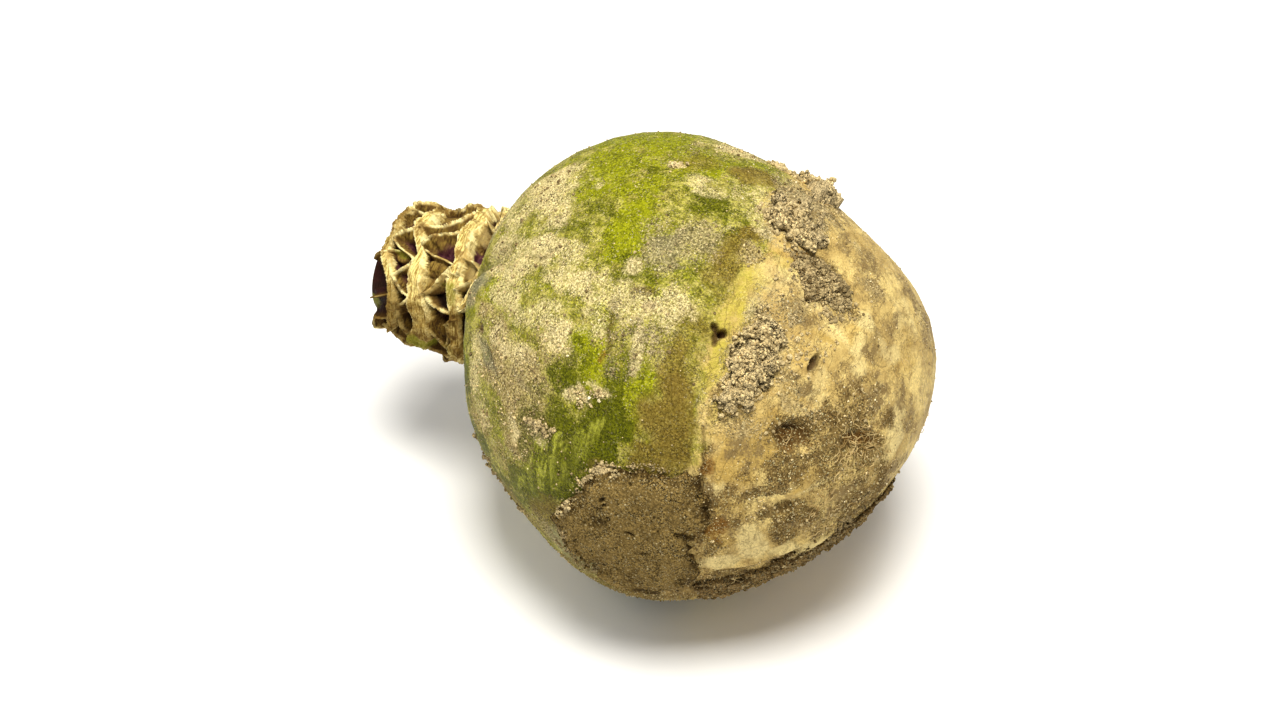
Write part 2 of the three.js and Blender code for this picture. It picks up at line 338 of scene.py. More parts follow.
# each line's darkness is painted shade in its crack or fold
LINES = [  # corners (away, around), width in degrees, height in mm, darkness
    ("long crack", [(114, 57), (114.5, 62), (115.5, 68), (116.2, 74), (116.4, 79)], 0.45, -0.6, 0.5),
    ("crack under the clods", [(120, 1.5), (123, -1), (127, -2), (131, -0.5), (134, 3)], 0.9, -1, 0.7),
    ("fold by the neck", [(24, 50), (27, 43), (31, 37), (36, 32), (42, 30)], 3.4, -1.9, 0.10),
    ("upper fold by the neck", [(33, 22), (38, 17), (44, 12)], 2, -0.7, 0),
    ("scar curl", [(85, 39), (85, 42), (86.5, 45), (87, 47)], 1, -0.5, 0.55),
    ("scar rim", [(75, 42), (78, 39), (83, 38), (88, 37.5)], 1.3, 0.6, 0),
    ("pale scar", [(91.5, 40), (93, 44), (95, 47), (96.5, 50)], 1.1, 0.5, 0),
    ("scar arch", [(88, 33), (91, 30), (95, 29.5), (99, 32)], 1.2, 0.5, 0),
    ("dust edge", [(52, 30), (57, 30), (61, 26)], 0.9, -0.6, 0.35),
    ("pale band edge", [(121, 107), (130, 109), (140, 108), (150, 103)], 1.6, 0.8, 0),
    ("fold on the back", [(26, -120), (34, -105), (46, -96)], 2.4, -1, 0.1),
    ("crack on the back", [(104, -62), (112, -66), (121, -64)], 0.9, -0.9, 0.7),
    ("crack underneath", [(108, 150), (118, 156), (129, 155)], 1, -0.8, 0.6),
]
print(len(DENTS), "dents and", len(LINES), "lines")

# %% [markdown]
# ## The swollen root: relief
# The heights of all marks are added up at every point of the skin, with three sizes of shallow waves, and
# the points then move outwards by that much. A crack half a millimetre wide needs finer faces than the rest
# of the skin, so the faces near such marks are first divided once more. A second noise, the "warp", shifts
# the places themselves, so that no outline stays a perfect oval or a ruled line.

# %% Press the relief into the skin
FINE_PLACES = [  # away, around, and how far round them the faces are divided, in degrees
    (109.8, 34.8, 5), (114.4, 60, 4), (115.6, 68, 4), (116.5, 76, 4), (134, 29, 5), (125, 0, 7), (134, 52, 6),
    (82, 78, 12),
]
SKIN_WAVES = [(0.30, 22, 2, 0.0), (0.16, 6, 3, 4.0), (0.10, 1.8, 2, 6.0)]  # layers, with heights in mm
AWAY_WARP = [(5.0, 13, 2, 11.0), (2.4, 4, 3, 17.0)]  # layers, with heights in degrees
AROUND_WARP = [(5.0, 13, 2, 23.0), (2.4, 4, 3, 29.0)]
LINE_WARP = 0.2  # the share of the warp that bends the cracks and folds
FLAT_BELOW = 0.5 * MM  # the flat spot that it rests on stays flat
FULL_ABOVE = 6 * MM


def divide_near(piece, places):
    """Divides the faces within some degrees of each place once more."""
    mesh = piece.data
    centres = np.empty(len(mesh.polygons) * 3)
    mesh.polygons.foreach_get("center", centres)
    face_away, face_around = skin_angles(centres.reshape(-1, 3))
    near = np.zeros(len(mesh.polygons), bool)
    for at_away, at_around, reach in places:
        squeeze = math.sin(math.radians(at_away))
        near |= np.hypot(face_away - at_away, turn_between(at_around, face_around) * squeeze) < reach
    only(piece)
    bpy.ops.object.mode_set(mode="EDIT")
    bpy.ops.mesh.select_mode(type="FACE")
    bpy.ops.mesh.select_all(action="DESELECT")
    bpy.ops.object.mode_set(mode="OBJECT")
    mesh.polygons.foreach_set("select", near)
    bpy.ops.object.mode_set(mode="EDIT")
    bpy.ops.mesh.subdivide(number_cuts=1)
    bpy.ops.object.mode_set(mode="OBJECT")


divide_near(root, FINE_PLACES)
points = points_of(root)
away, around = skin_angles(points)
relief = layered_noise(points, SKIN_WAVES)
warp = np.stack([layered_noise(points, AWAY_WARP), layered_noise(points, AROUND_WARP)])
warp[1] /= np.sin(np.radians(np.clip(away, 25, 155)))  # a degree around is shorter near the two ends
for _, spot, _ in DENTS:
    relief += oval(away, around, spot)
for _, corners, width, height, _ in LINES:
    relief += height * along_line(away + LINE_WARP * warp[0], around + LINE_WARP * warp[1], corners, width)
relief *= smooth_step(points[:, 2], FLAT_BELOW, FULL_ABOVE)
move_points(root, points + outward_rays(points) * relief[:, None] * MM)
print("Relief from", round(float(relief.min()), 1), "to", round(float(relief.max()), 1), "mm")

# %% [markdown]
# ## The swollen root: where it is green
# The neck half of a rutabaga grows in the light and turns green, and the half in the soil stays cream. A
# painter would mask each finish, and so do these steps: every finish gets its own mask, made of soft ovals.
# The first masks are those of the green half: bright lime where it was rubbed clean, deep moss, brown olive
# where it fades out, and the grey collar round the neck.

# %% Green finishes
GREEN_EDGE = [  # around, and the away angle where green skin ends there
    (-180, 104), (-140, 107), (-100, 109), (-60, 104), (-30, 99), (-20, 105), (-5, 103), (8, 113), (14, 110),
    (28, 107), (42, 109), (52, 113), (62, 114), (74, 111), (90, 106), (130, 103), (180, 104),
]
GREEN_FINISHES = {  # away, around, half sizes in degrees, strength, turn if it has one
    "lime": [
        (58, -22, 10, 7, 1), (68, -24, 8, 8, 1), (63, -8, 9, 9, 0.9, 20), (72, -10, 7, 8, 0.7),
        (64, 5, 7, 5, 0.8, 30), (78, 16, 7, 12, 1, -25), (82, 24, 6, 6, 0.9), (74, 4, 6, 6, 0.8),
        (86, -18, 7, 5, 0.7), (96, -22, 6, 4, 0.6), (83, -3, 4, 6, 0.6), (79, -15, 6, 5, 0.9),
        (88, -9, 5, 4, 0.8), (93, 30.5, 4, 1.2, 0.7, 8), (97, 57, 4, 9, 0.8), (98, 22, 4, 4, 0.6),
        (91, 50, 4, 5, 0.7), (83, 46, 5, 9, 1), (88, 58, 5, 8, 0.7), (97, 53, 2, 9, 0.7, -10),
        (48, 43, 9, 5, 0.7), (36, 53, 4, 3, 0.8), (60, 42, 6, 4, 0.5), (33, 76, 5, 8, 0.7),
        (54, 84, 7, 7, 0.6, 20), (44, -12, 6, 4, 0.5, -30), (70, -60, 14, 14, 0.9), (84, -100, 10, 16, 0.8),
        (60, -140, 10, 18, 0.8), (75, 170, 12, 16, 0.7), (62, 125, 12, 10, 0.5),
    ],
    "moss": [
        (95, 4, 7, 4.5, 0.62), (91, 1, 4, 3, 0.75), (103, 12, 4, 5, 0.6), (86, 28, 6, 4, 0.6),
        (92, 66, 8, 11, 1, -10), (79, 76, 10, 12, 1, -30), (91, 75, 6, 5, 1), (91, 50, 4, 5, 0.7),
        (98, 23, 4, 4, 0.5), (84, 72, 7, 8, 1, -35), (79, 85, 8, 8, 1, -35), (70, 95, 9, 7, 0.9, -30),
        (62, 103, 9, 6, 0.7, -20), (80, 52, 4, 5, 0.5), (77, 58, 4.5, 4.5, 1), (67, 15, 5, 5, 0.5),
        (57, 18, 6, 2.5, 0.6), (74, -3, 6, 3, 0.5), (57, 80, 6, 5, 0.6), (34, 84, 6, 9, 0.8),
        (91, 41.5, 3.5, 3.5, 0.5), (106, 7, 3.5, 3.5, 0.6), (46, 98, 9, 6, 0.7), (70, 66, 5, 5, 0.5),
        (92, -75, 7, 10, 0.9), (80, -125, 8, 12, 0.8), (90, 150, 6, 14, 0.8), (48, -110, 8, 14, 0.6),
    ],
    "olive": [
        (106, 58, 5, 16, 1), (109, 56, 4, 9, 0.8), (108, 67, 4, 7, 0.9), (103, 44, 4.5, 7, 0.8),
        (105, 17, 5, 8, 0.8), (106, 7, 4, 4, 0.9), (98, -15, 6, 4, 0.9), (84, -12, 5, 6, 0.5),
        (78, 100, 8, 7, 0.8, -20), (62, 112, 12, 7, 0.7), (104, 34, 4, 4, 0.5), (92, 76, 4, 3, 0.5),
        (100, -50, 7, 14, 0.6), (102, -120, 6, 20, 0.7), (98, 140, 7, 18, 0.7),
    ],
    "collar": [
        (33, 42, 5, 10, 0.9), (29, 60, 3, 15, 0.9), (27, 10, 3, 14, 0.6), (84, 112, 9, 7, 0.8),
        (28, -100, 4, 40, 0.6), (28, 160, 4, 30, 0.6),
    ],
}


def green_skin(away, around):
    """1 on the green half of the root, 0 on the cream half."""
    edge = np.interp(around, [row[0] for row in GREEN_EDGE], [row[1] for row in GREEN_EDGE])
    return 1 - smooth_step(away - edge, -3.5, 3.5)


print("Green finishes:", {name: len(spots) for name, spots in GREEN_FINISHES.items()})

# %% [markdown]
# ## The swollen root: where it is cream
# Below ground the skin stays cream, but not evenly: a straw-yellow ring follows the green, golden clouds
# and pale places (partly painted highlight) lie further down, and brown mottling spreads where damp soil
# touched it.

# %% Cream finishes
CREAM_FINISHES = {  # away, around, half sizes in degrees, strength, turn if it has one
    "straw": [
        (109.5, 24, 3.5, 6, 0.9), (109, 31, 3, 4, 0.8), (112, 18, 3.5, 6, 0.8), (113, 27, 3.5, 5, 0.7),
        (112, 41, 2.6, 8, 0.9), (108, 9, 4, 5, 0.8), (116, 52, 1.6, 5, 0.6), (106, -7, 4, 3, 0.4),
        (96, 31, 4, 1, 1, 8), (111.5, 66, 3, 5, 0.6), (120, 9, 4, 3, 0.5), (112, -80, 5, 22, 0.7),
        (111, -140, 4, 20, 0.6), (109, 150, 5, 24, 0.6),
    ],
    "gold": [
        (110, 86, 4, 7, 0.8), (109.5, 12, 5, 6, 1), (114, 9, 3, 3, 0.7), (133, 19, 3.5, 3.5, 0.6),
        (126, 60, 8, 7, 1), (124, 86, 6, 6, 0.7), (138, 12.5, 3, 3, 0.7), (122, 66, 6, 8, 1),
        (114, 90, 3, 7, 0.6), (131, 40, 3.5, 3, 1), (131, 30, 3, 4, 0.5), (122, 92, 3.5, 5, 0.9),
        (156, -8, 4, 12, 0.6), (118, 57, 5, 3, 0.6), (141, 72, 4, 4, 0.5), (152, 55, 3, 3, 0.6),
        (130, -120, 8, 12, 0.7), (140, 160, 8, 14, 0.7), (126, -45, 7, 8, 0.6),
    ],
    # pale skin: some real pale patches, some painted highlights, one of them lightening the skin in the
    # clods' shadow
    "pale": [
        (139.8, 4.5, 2.6, 5.5, 1), (142, 14, 3, 5, 0.7, 20), (119.5, 76, 2.6, 3.2, 1), (134, 16, 5, 3, 0.6),
        (146, 20, 3.5, 4, 0.8), (124, 8, 4, 3, 0.4), (129, 97, 3.5, 10, 1), (120, 104, 6, 3.5, 1),
        (143.5, 114, 5, 6.5, 1, -25), (136, 107, 5, 3.5, 0.9), (164, 40, 3.4, 26, 1),
        (161, 62, 3, 10, 0.7, -20), (155, 22, 2, 8, 0.5), (152, -2, 3, 6, 0.7), (148.5, 1.5, 3, 3, 0.8),
        (117, 15, 4, 6, 0.45), (126, 13, 4, 4, 0.8), (124.5, 33, 4, 4, 0.8), (115, 24.5, 3, 3, 0.7),
        (127, -19, 3, 4, 0.7), (121.5, 10.5, 3.5, 3, 0.8), (148, -24, 6, 7, 0.5), (137, 35, 3, 6, 0.5),
        (146, 73, 7, 1.6, 0.9, -35), (134, 76, 6, 1.5, 0.7, -35), (158, 78, 7, 1.5, 0.6, -50),
        (135, -100, 8, 8, 0.7), (126, -130, 6, 8, 0.6), (150, -50, 5, 7, 0.5), (155, 150, 8, 16, 0.6),
    ],
    "mottle": [
        (112, 86, 6, 10, 0.8), (136, -12, 5, 5, 0.8), (132, 36, 5, 4, 0.7), (125, 62, 6, 7, 0.7),
        (124, -14, 3, 5, 0.8), (158.5, 32, 5, 8, 1), (109, 12, 4, 5, 0.8), (133, -20, 5, 8, 0.7),
        (138, -10, 3, 5, 0.7, 20), (147, -12, 3, 7, 0.6), (147, 6, 3.5, 9, 0.9), (153, -9, 0.8, 1.6, 1),
        (161, 9, 2.6, 9, 1, -10), (154, 14, 4, 6, 0.6), (156, 30, 5, 10, 1), (149, 28, 4, 6, 0.8),
        (143, 26, 4, 6, 0.5), (129, 8, 7, 6, 0.45), (125, 18, 5, 4, 0.7), (139, 45, 4, 6, 0.8),
        (126, 58, 5, 5, 0.5), (118, 82, 5, 8, 0.9), (125, 88, 3, 6, 0.6), (147, 95, 6, 12, 0.9),
        (155, 90, 8, 16, 1), (156, 112, 7, 16, 0.5), (168, 84, 8, 18, 0.9), (168, 118, 9, 20, 0.9),
        (168, 10, 4, 20, 0.7), (131, 82, 3, 4, 0.7), (113, -22, 6, 10, 0.8), (140, -40, 6, 6, 0.6),
        (125, -60, 6, 14, 0.7), (140, -80, 6, 16, 0.6), (150, -50, 6, 12, 0.7), (118, -110, 5, 12, 0.6),
        (130, -150, 6, 14, 0.7), (122, 160, 8, 12, 0.7),
    ],
}
print("Cream finishes:", {name: len(spots) for name, spots in CREAM_FINISHES.items()})

# %% [markdown]
# ## The swollen root: where dirt lies
# Over both halves lies what the field left: dry dust, clay that was smeared and dried, grey ash-like crusts,
# dark soil stains, and small places of rust, slate and maroon where the skin was hurt. They are kept apart
# because each has its own colour, and because loose grains are strewn later where the dirt is.

# %% Dirt
DIRT = {  # away, around, half sizes in degrees, strength, turn if it has one
    "dust": [
        (42, 71, 6, 9, 0.7), (50, 84, 4, 6, 0.5), (64, 78.5, 3.5, 3, 0.8), (46, 2, 8, 8, 1),
        (52, 10, 8, 8, 1), (44, 14, 6, 5, 0.8), (58, 26.5, 7, 4.4, 1, 6), (45, 36, 8, 4, 0.9),
        (52, 43, 8, 4, 0.8), (40, 24, 5, 6, 0.7), (70, 33.5, 9, 4, 0.75), (80, 34, 7, 3.6, 0.55),
        (89, 35, 7, 3.4, 0.7), (97, 35, 4, 4, 0.6), (38, 27, 6, 5, 0.9), (50, 31, 6, 6, 0.8),
        (66, 26, 5, 4, 0.6), (86.5, -28, 6, 5, 1), (98, 31.5, 5, 4, 0.9), (86, 27, 2.5, 2.5, 0.6),
        (72.5, 47.5, 5, 5, 1), (81, 41.5, 4, 4, 0.7), (93.5, 45, 1.6, 6, 0.9, -14),
        (88, 57, 3.5, 1, 0.9, 15), (84, 59.5, 3, 1, 0.8, 40), (80, 61, 2.4, 1.6, 0.7, -20),
        (101, -5, 8, 5, 0.4), (79, -7, 2.2, 1.2, 1), (108, 1, 4, 5, 0.5), (90, -2.5, 5, 3.5, 0.5),
        (66, 45, 9, 4, 0.6), (56, 57, 9, 4, 0.7), (73, 75, 4, 2, 0.5), (33, 10, 5, 12, 0.5),
        (52, -85, 12, 12, 0.8), (72, -110, 10, 9, 0.7), (95, -120, 8, 10, 0.6), (60, 160, 12, 12, 0.7),
        (88, -50, 8, 7, 0.6), (40, 170, 10, 20, 0.6),
    ],
    "clay": [
        (60, 62, 12, 7, 1), (66, 72, 12, 7, 1), (54, 68, 8, 5, 0.8), (64, 80, 9, 6, 0.9, -20),
        (50, 53, 10, 5, 0.7), (72, 50, 6, 6, 0.6), (69, 79, 5, 5, 1), (46, 88, 9, 6, 0.6),
        (60, 92, 6, 4, 0.5, -20), (88, 44, 3, 4, 0.5), (98, 44, 4, 5, 0.3), (84, -22, 7, 3, 0.3, 20),
        (110, -12, 6, 8, 0.9), (109.3, 12.8, 3.5, 3.5, 1), (136, -12, 4, 4, 0.6), (121, 18, 5, 4, 0.5),
        (126, 27, 5, 5, 0.4), (128, 40, 6, 7, 0.5), (133, 46, 6, 5, 0.8), (122, 55, 9, 3, 0.6),
        (66, -90, 12, 10, 0.8), (70, 145, 12, 10, 0.8), (50, -150, 10, 14, 0.7),
    ],
    "ash": [
        (94.5, 14, 5.5, 5.5, 0.95), (90, 20, 5, 5, 0.9), (98, 17, 4, 5, 0.5), (84, 14, 3, 5, 0.5),
        (97, 41, 5, 4, 0.3), (110.8, 2.5, 3, 4, 0.5), (88, 39, 4, 3.5, 0.5), (91, 49, 4, 4, 0.4),
        (112, -14, 7, 12, 0.9), (104, -22, 5, 6, 0.7), (78, -16, 3, 7, 0.25, 15), (34, 42, 6, 8, 0.5),
        (74, 108, 8, 5, 0.5), (117.5, 35, 5, 15, 0.6), (122, 22, 5, 5, 0.4), (80, -80, 8, 8, 0.6),
        (66, -150, 9, 10, 0.6), (100, 170, 8, 12, 0.6),
    ],
    "stain": [
        (129, 3, 7, 5, 0.8), (135, 54, 5, 6, 1), (146, 46, 6, 8, 1), (150, 38, 4, 7, 0.9),
        (153, 50, 7, 8, 1), (146, 58, 8, 6, 1), (138, 65, 8, 5, 0.9, -15), (154, 63, 7, 6, 0.8),
        (131, 75, 6, 3, 0.9, -25), (141, 86, 6.5, 7, 1), (137, 97, 3.5, 7, 0.8), (120, 81, 5, 4, 0.8),
        (118, 92, 6, 9, 0.6), (114, 87, 4, 7, 0.8), (113, 98, 4, 6, 0.3), (126, 80, 6, 6, 0.45),
        (96, 96, 11, 15, 1), (113, 78, 2, 4, 0.3), (107, 75.5, 5, 2.4, 0.4), (112, 97, 4, 6, 0.4),
        (100, 114, 18, 9, 0.8), (122, 117, 22, 6, 1), (136, 131, 26, 9, 0.8), (106, 124, 12, 8, 0.9),
        (116, 68, 1.2, 8, 0.6), (160, 98, 8, 14, 0.8), (117.5, 48, 3.5, 6, 0.6), (150, 70, 10, 6, 0.7, -30),
        (142, 50, 8, 14, 0.75), (149, 33, 5, 8, 0.6), (148, 100, 7, 8, 0.35), (158, 90, 9, 9, 0.6),
        (155, 112, 9, 12, 0.35), (162, 74, 5, 7, 0.6), (126, 70, 3, 3, 0.5), (149, 64, 4, 5, 0.8),
        (158.5, 33, 4, 7, 0.7), (150.5, 20.5, 3, 3, 0.45), (145, -118, 9, 10, 0.9), (153, -132, 8, 10, 0.8),
        (135, -135, 9, 8, 0.6), (118, -95, 7, 6, 0.6), (120, -165, 14, 12, 0.7), (88, 128, 16, 10, 0.7),
    ],
    "rust": [
        (119.5, 4, 2, 3.5, 1), (136, 56, 4, 3.5, 0.5), (154, 53, 4.5, 4, 0.8), (116.5, 68, 1.6, 4, 0.6),
        (122, 90, 3, 4, 0.6), (86, 49, 1, 2, 0.7), (126, 45, 2, 2, 0.5), (152, -132, 5, 6, 0.7),
        (143, -118, 4, 4, 0.7),
    ],
    "slate": [
        (48, 65, 6, 2.2, 1, 24), (64, 64, 5, 1.2, 0.5, 20), (34, 40, 7, 4, 0.5, 30), (90, 19, 4, 5, 0.35),
    ],
    "maroon": [
        (42.6, 58, 0.8, 1.7, 1), (90, 31.5, 3, 0.9, 0.6, -20), (93, 34, 1.6, 1.2, 0.5),
    ],
}
print("Kinds of dirt:", {name: len(spots) for name, spots in DIRT.items()})

# %% [markdown]
# ## The swollen root: store the masks
# A mask is kept as one number per point of the mesh, an attribute that the material reads by its name.
# That is lighter than an image and needs no unwrapping. The masks are soft here, and the material later
# frays their edges with noise. Scratches get a mask too, and so does the painted shade in dents and cracks.

# %% Masks of the finishes
SCRATCH_LANES = 14
SCRATCHES = [  # away and around where each scratch starts and ends
    (91 - 1.3 * lane, 64 + 0.9 * lane, 83 - 1.3 * lane, 86 + 0.9 * lane) for lane in range(SCRATCH_LANES)
]
SCRATCH_WARP = 0.25
EDGE_WARP = 0.4
FINISHES = {**GREEN_FINISHES, **CREAM_FINISHES, **DIRT}


def store(piece, name, values):
    """Keeps one number per point on a mesh, for its material."""
    layer = piece.data.attributes.new(name, "FLOAT", "POINT")
    layer.data.foreach_set("value", np.asarray(values, float))


points = points_of(root)
away, around = skin_angles(points)
store(root, "green", green_skin(away + EDGE_WARP * warp[0], around))
covers = {name: cover(away, around, spots, warp) for name, spots in FINISHES.items()}
covers["scratch"] = np.zeros(len(away))
scratches = random.Random(11)
for away_start, around_start, away_end, around_end in SCRATCHES:
    corners = [(away_start, around_start), (away_start - 2.5, around_start + 10), (away_end, around_end)]
    width = scratches.uniform(0.3, 0.9)
    line = along_line(away + SCRATCH_WARP * warp[0], around + SCRATCH_WARP * warp[1], corners, width)
    covers["scratch"] = np.maximum(covers["scratch"], line * (0.4 + 0.6 * smooth_step(warp[0], -3, 2)))
for name, values in covers.items():
    store(root, name, values)
# painted shade in the dents and cracks, from their darkness
hollow = np.zeros(len(away))
for _, spot, darkness in DENTS:
    hollow += oval(away, around, (*spot[:4], darkness, *spot[5:]))
for _, corners, width, _, darkness in LINES:
    bent = (away + LINE_WARP * warp[0], around + LINE_WARP * warp[1])
    hollow += along_line(*bent, corners, width) * darkness
store(root, "hollow", np.clip(hollow, 0, 1))
print("Masks on the root:", sorted(covers) + ["green", "hollow"])

# %% [markdown]
# ## Shader helpers
# A material is a small network of nodes. It could be wired by hand in the shader editor, but then nobody can
# read it here. Naming the few moves it is made of (do sums, stretch a value, mix two colours, add noise)
# makes each network read like a recipe.

# %% Small helpers for values and colours
def feed(tree, socket, value):
    """Links a socket to another node's output, or sets it to a plain value."""
    if isinstance(value, bpy.types.NodeSocket):
        tree.links.new(value, socket)
    elif isinstance(value, tuple) and len(value) == 3 and socket.type == "RGBA":
        socket.default_value = (*value, 1)
    else:
        socket.default_value = value


def maths(tree, operation, a, b=0.0, clamp=False):
    """One step of maths with two values."""
    new = tree.nodes.new("ShaderNodeMath")
    new.operation = operation
    new.use_clamp = clamp
    feed(tree, new.inputs[0], a)
    feed(tree, new.inputs[1], b)
    return new.outputs[0]


def plus(tree, a, b, clamp=False):
    """One value plus another."""
    return maths(tree, "ADD", a, b, clamp)


def minus(tree, a, b):
    """One value minus another."""
    return maths(tree, "SUBTRACT", a, b)


def times(tree, a, b):
    """One value times another."""
    return maths(tree, "MULTIPLY", a, b)


def stretch(tree, value, low, high, to_low=0.0, to_high=1.0):
    """A smooth ramp: to_low below low, to_high above high."""
    new = tree.nodes.new("ShaderNodeMapRange")
    new.interpolation_type = "SMOOTHSTEP"
    for socket, number in zip(new.inputs[:5], (value, low, high, to_low, to_high)):
        feed(tree, socket, number)
    return new.outputs[0]


def mixed(tree, factor, a, b, blend="MIX"):
    """Colour a, with colour b laid over it by a factor."""
    new = tree.nodes.new("ShaderNodeMix")
    new.data_type = "RGBA"
    new.blend_type = blend
    feed(tree, new.inputs[0], factor)
    feed(tree, new.inputs[6], a)
    feed(tree, new.inputs[7], b)
    return new.outputs[2]


print("Helpers for values and colours are ready")

# %% Small helpers for patterns
def clouds(tree, where, size, detail=3.0, roughness=0.55, distortion=0.0):
    """Noise with lumps of a size in mm, 0 to 1."""
    new = tree.nodes.new("ShaderNodeTexNoise")
    feed(tree, new.inputs["Vector"], where)
    new.inputs["Scale"].default_value = 1 / (size * MM)
    new.inputs["Detail"].default_value = detail
    new.inputs["Roughness"].default_value = roughness
    new.inputs["Distortion"].default_value = distortion
    return new.outputs[0]


def cells(tree, where, size):
    """Voronoi cells of a size in mm: the distance to the nearest centre, and a random colour per cell."""
    new = tree.nodes.new("ShaderNodeTexVoronoi")
    feed(tree, new.inputs["Vector"], where)
    new.inputs["Scale"].default_value = 1 / (size * MM)
    return new.outputs["Distance"], new.outputs["Color"]


def mask(tree, name):
    """A mask that a mesh keeps on its points."""
    new = tree.nodes.new("ShaderNodeAttribute")
    new.attribute_name = name
    return new.outputs["Fac"]


def object_place(tree, stretch_by=None):
    """Object coordinates, or those stretched along X, Y and Z."""
    place = tree.nodes.new("ShaderNodeTexCoord").outputs["Object"]
    if stretch_by is None:
        return place
    mapping = tree.nodes.new("ShaderNodeMapping")
    mapping.inputs["Scale"].default_value = stretch_by
    tree.links.new(place, mapping.inputs["Vector"])
    return mapping.outputs[0]


print("Helpers for patterns are ready")

# %% [markdown]
# ## Shader helpers: groups, materials and bumps
# What several materials share becomes a node group with named inputs and outputs, made once and placed in
# each of them. The last helper raises fine grain with a Bump node, which only bends the light: everything
# that can be seen as a shape is real geometry.

# %% Small helpers for groups and materials
def new_group(name, inputs, outputs):
    """An empty shader node group with named inputs (and their defaults) and outputs."""
    tree = bpy.data.node_groups.new(name, "ShaderNodeTree")
    for label, default in inputs.items():
        socket = tree.interface.new_socket(label, in_out="INPUT", socket_type="NodeSocketFloat")
        socket.default_value = default
    for label in outputs:
        tree.interface.new_socket(label, in_out="OUTPUT", socket_type="NodeSocketFloat")
    return tree, tree.nodes.new("NodeGroupInput"), tree.nodes.new("NodeGroupOutput")


def use_group(tree, group, **inputs):
    """Places a node group, with values or links for its inputs, and gives its outputs."""
    new = tree.nodes.new("ShaderNodeGroup")
    new.node_tree = group
    for label, value in inputs.items():
        feed(tree, new.inputs[label], value)
    return new.outputs


def new_material(name):
    """A material with only a Principled shader, its tree and that shader node."""
    material = bpy.data.materials.new(name)
    material.use_nodes = True
    tree = material.node_tree
    return material, tree, tree.nodes["Principled BSDF"]


def surface(tree, shader, colour, roughness, gloss):
    """Gives a shader its colour, its roughness and its gloss."""
    feed(tree, shader.inputs["Base Color"], colour)
    feed(tree, shader.inputs["Roughness"], roughness)
    feed(tree, shader.inputs["Specular IOR Level"], gloss)


def bump(tree, shader, height, distance):
    """Raises the surface by a height map times a distance in mm."""
    new = tree.nodes.new("ShaderNodeBump")
    new.inputs["Strength"].default_value = 1.0
    new.inputs["Distance"].default_value = distance * MM
    feed(tree, new.inputs["Height"], height)
    tree.links.new(new.outputs[0], shader.inputs["Normal"])


print("Helpers for groups and materials are ready")

# %% [markdown]
# ## Two shared effects
# Most of the materials here use two effects. "ragged" frays the edge of a mask: clouds push the edge to and
# fro, and fine noise breaks it up into grains. "grit" strews fine grains: small and coarse light ones, each
# on a cell of a Voronoi pattern, with dark specks between them.

# %% Node group: ragged
RAGGED_INPUTS = {"Mask": 0.5, "Fray": 0.7, "Grain": 0.8, "Soft": 0.12}
ragged, inside, outside = new_group("ragged", RAGGED_INPUTS, ["Mask"])
place = object_place(ragged)
fray = minus(ragged, clouds(ragged, place, 5.0, 4, 0.7), 0.5)
grain = minus(ragged, clouds(ragged, place, 0.45, 2, 0.65), 0.5)
fray = times(ragged, fray, inside.outputs["Fray"])
grain = times(ragged, grain, inside.outputs["Grain"])
shifted = plus(ragged, inside.outputs["Mask"], plus(ragged, fray, grain))
soft = inside.outputs["Soft"]
frayed = stretch(ragged, shifted, minus(ragged, 0.5, soft), plus(ragged, 0.5, soft))
frayed = times(ragged, frayed, stretch(ragged, inside.outputs["Mask"], 0.0, 0.12))
ragged.links.new(frayed, outside.inputs["Mask"])

print("Ragged has", len(ragged.nodes), "nodes")

# %% Node group: grit
FINE_GRAIN = 0.42  # mm
COARSE_GRAIN = 0.85  # mm
grit, inside, outside = new_group("grit", {"Amount": 0.5}, ["Light", "Dark", "Tone", "Height"])
place = object_place(grit)
grain_distance, grain_colour = cells(grit, place, FINE_GRAIN)
pick = grit.nodes.new("ShaderNodeSeparateColor")
grit.links.new(grain_colour, pick.inputs[0])
dome = stretch(grit, grain_distance, 0.45, 0.1)
patchy = stretch(grit, clouds(grit, place, 4.5, 3, 0.6), 0.40, 0.62, 0.35, 1.0)
gritty = times(grit, inside.outputs["Amount"], patchy)
crowd = minus(grit, 1.0, times(grit, gritty, 0.45))
few = stretch(grit, pick.outputs[0], crowd, plus(grit, crowd, 0.1))
light = times(grit, dome, few)
coarse_distance, coarse_colour = cells(grit, place, COARSE_GRAIN)
coarse_pick = grit.nodes.new("ShaderNodeSeparateColor")
grit.links.new(coarse_colour, coarse_pick.inputs[0])
coarse_dome = stretch(grit, coarse_distance, 0.42, 0.2)
coarse = times(grit, coarse_dome, stretch(grit, coarse_pick.outputs[0], 0.84, 0.9))
coarse = times(grit, coarse, gritty)
light = maths(grit, "MAXIMUM", light, coarse)
speck = clouds(grit, place, 0.36, 2, 0.75)
dark = times(grit, stretch(grit, speck, 0.42, 0.32), gritty)
swing = times(grit, gritty, 0.72)
mottled = clouds(grit, place, 0.5, 3, 0.8)
tone = stretch(grit, mottled, 0.36, 0.64, minus(grit, 1.0, swing), plus(grit, 1.0, swing))
height = plus(grit, times(grit, dome, 0.6), plus(grit, speck, coarse))
height = times(grit, height, gritty)
for label, value in (("Light", light), ("Dark", dark), ("Tone", tone), ("Height", height)):
    grit.links.new(value, outside.inputs[label])
print("Node groups:", [group.name for group in bpy.data.node_groups])
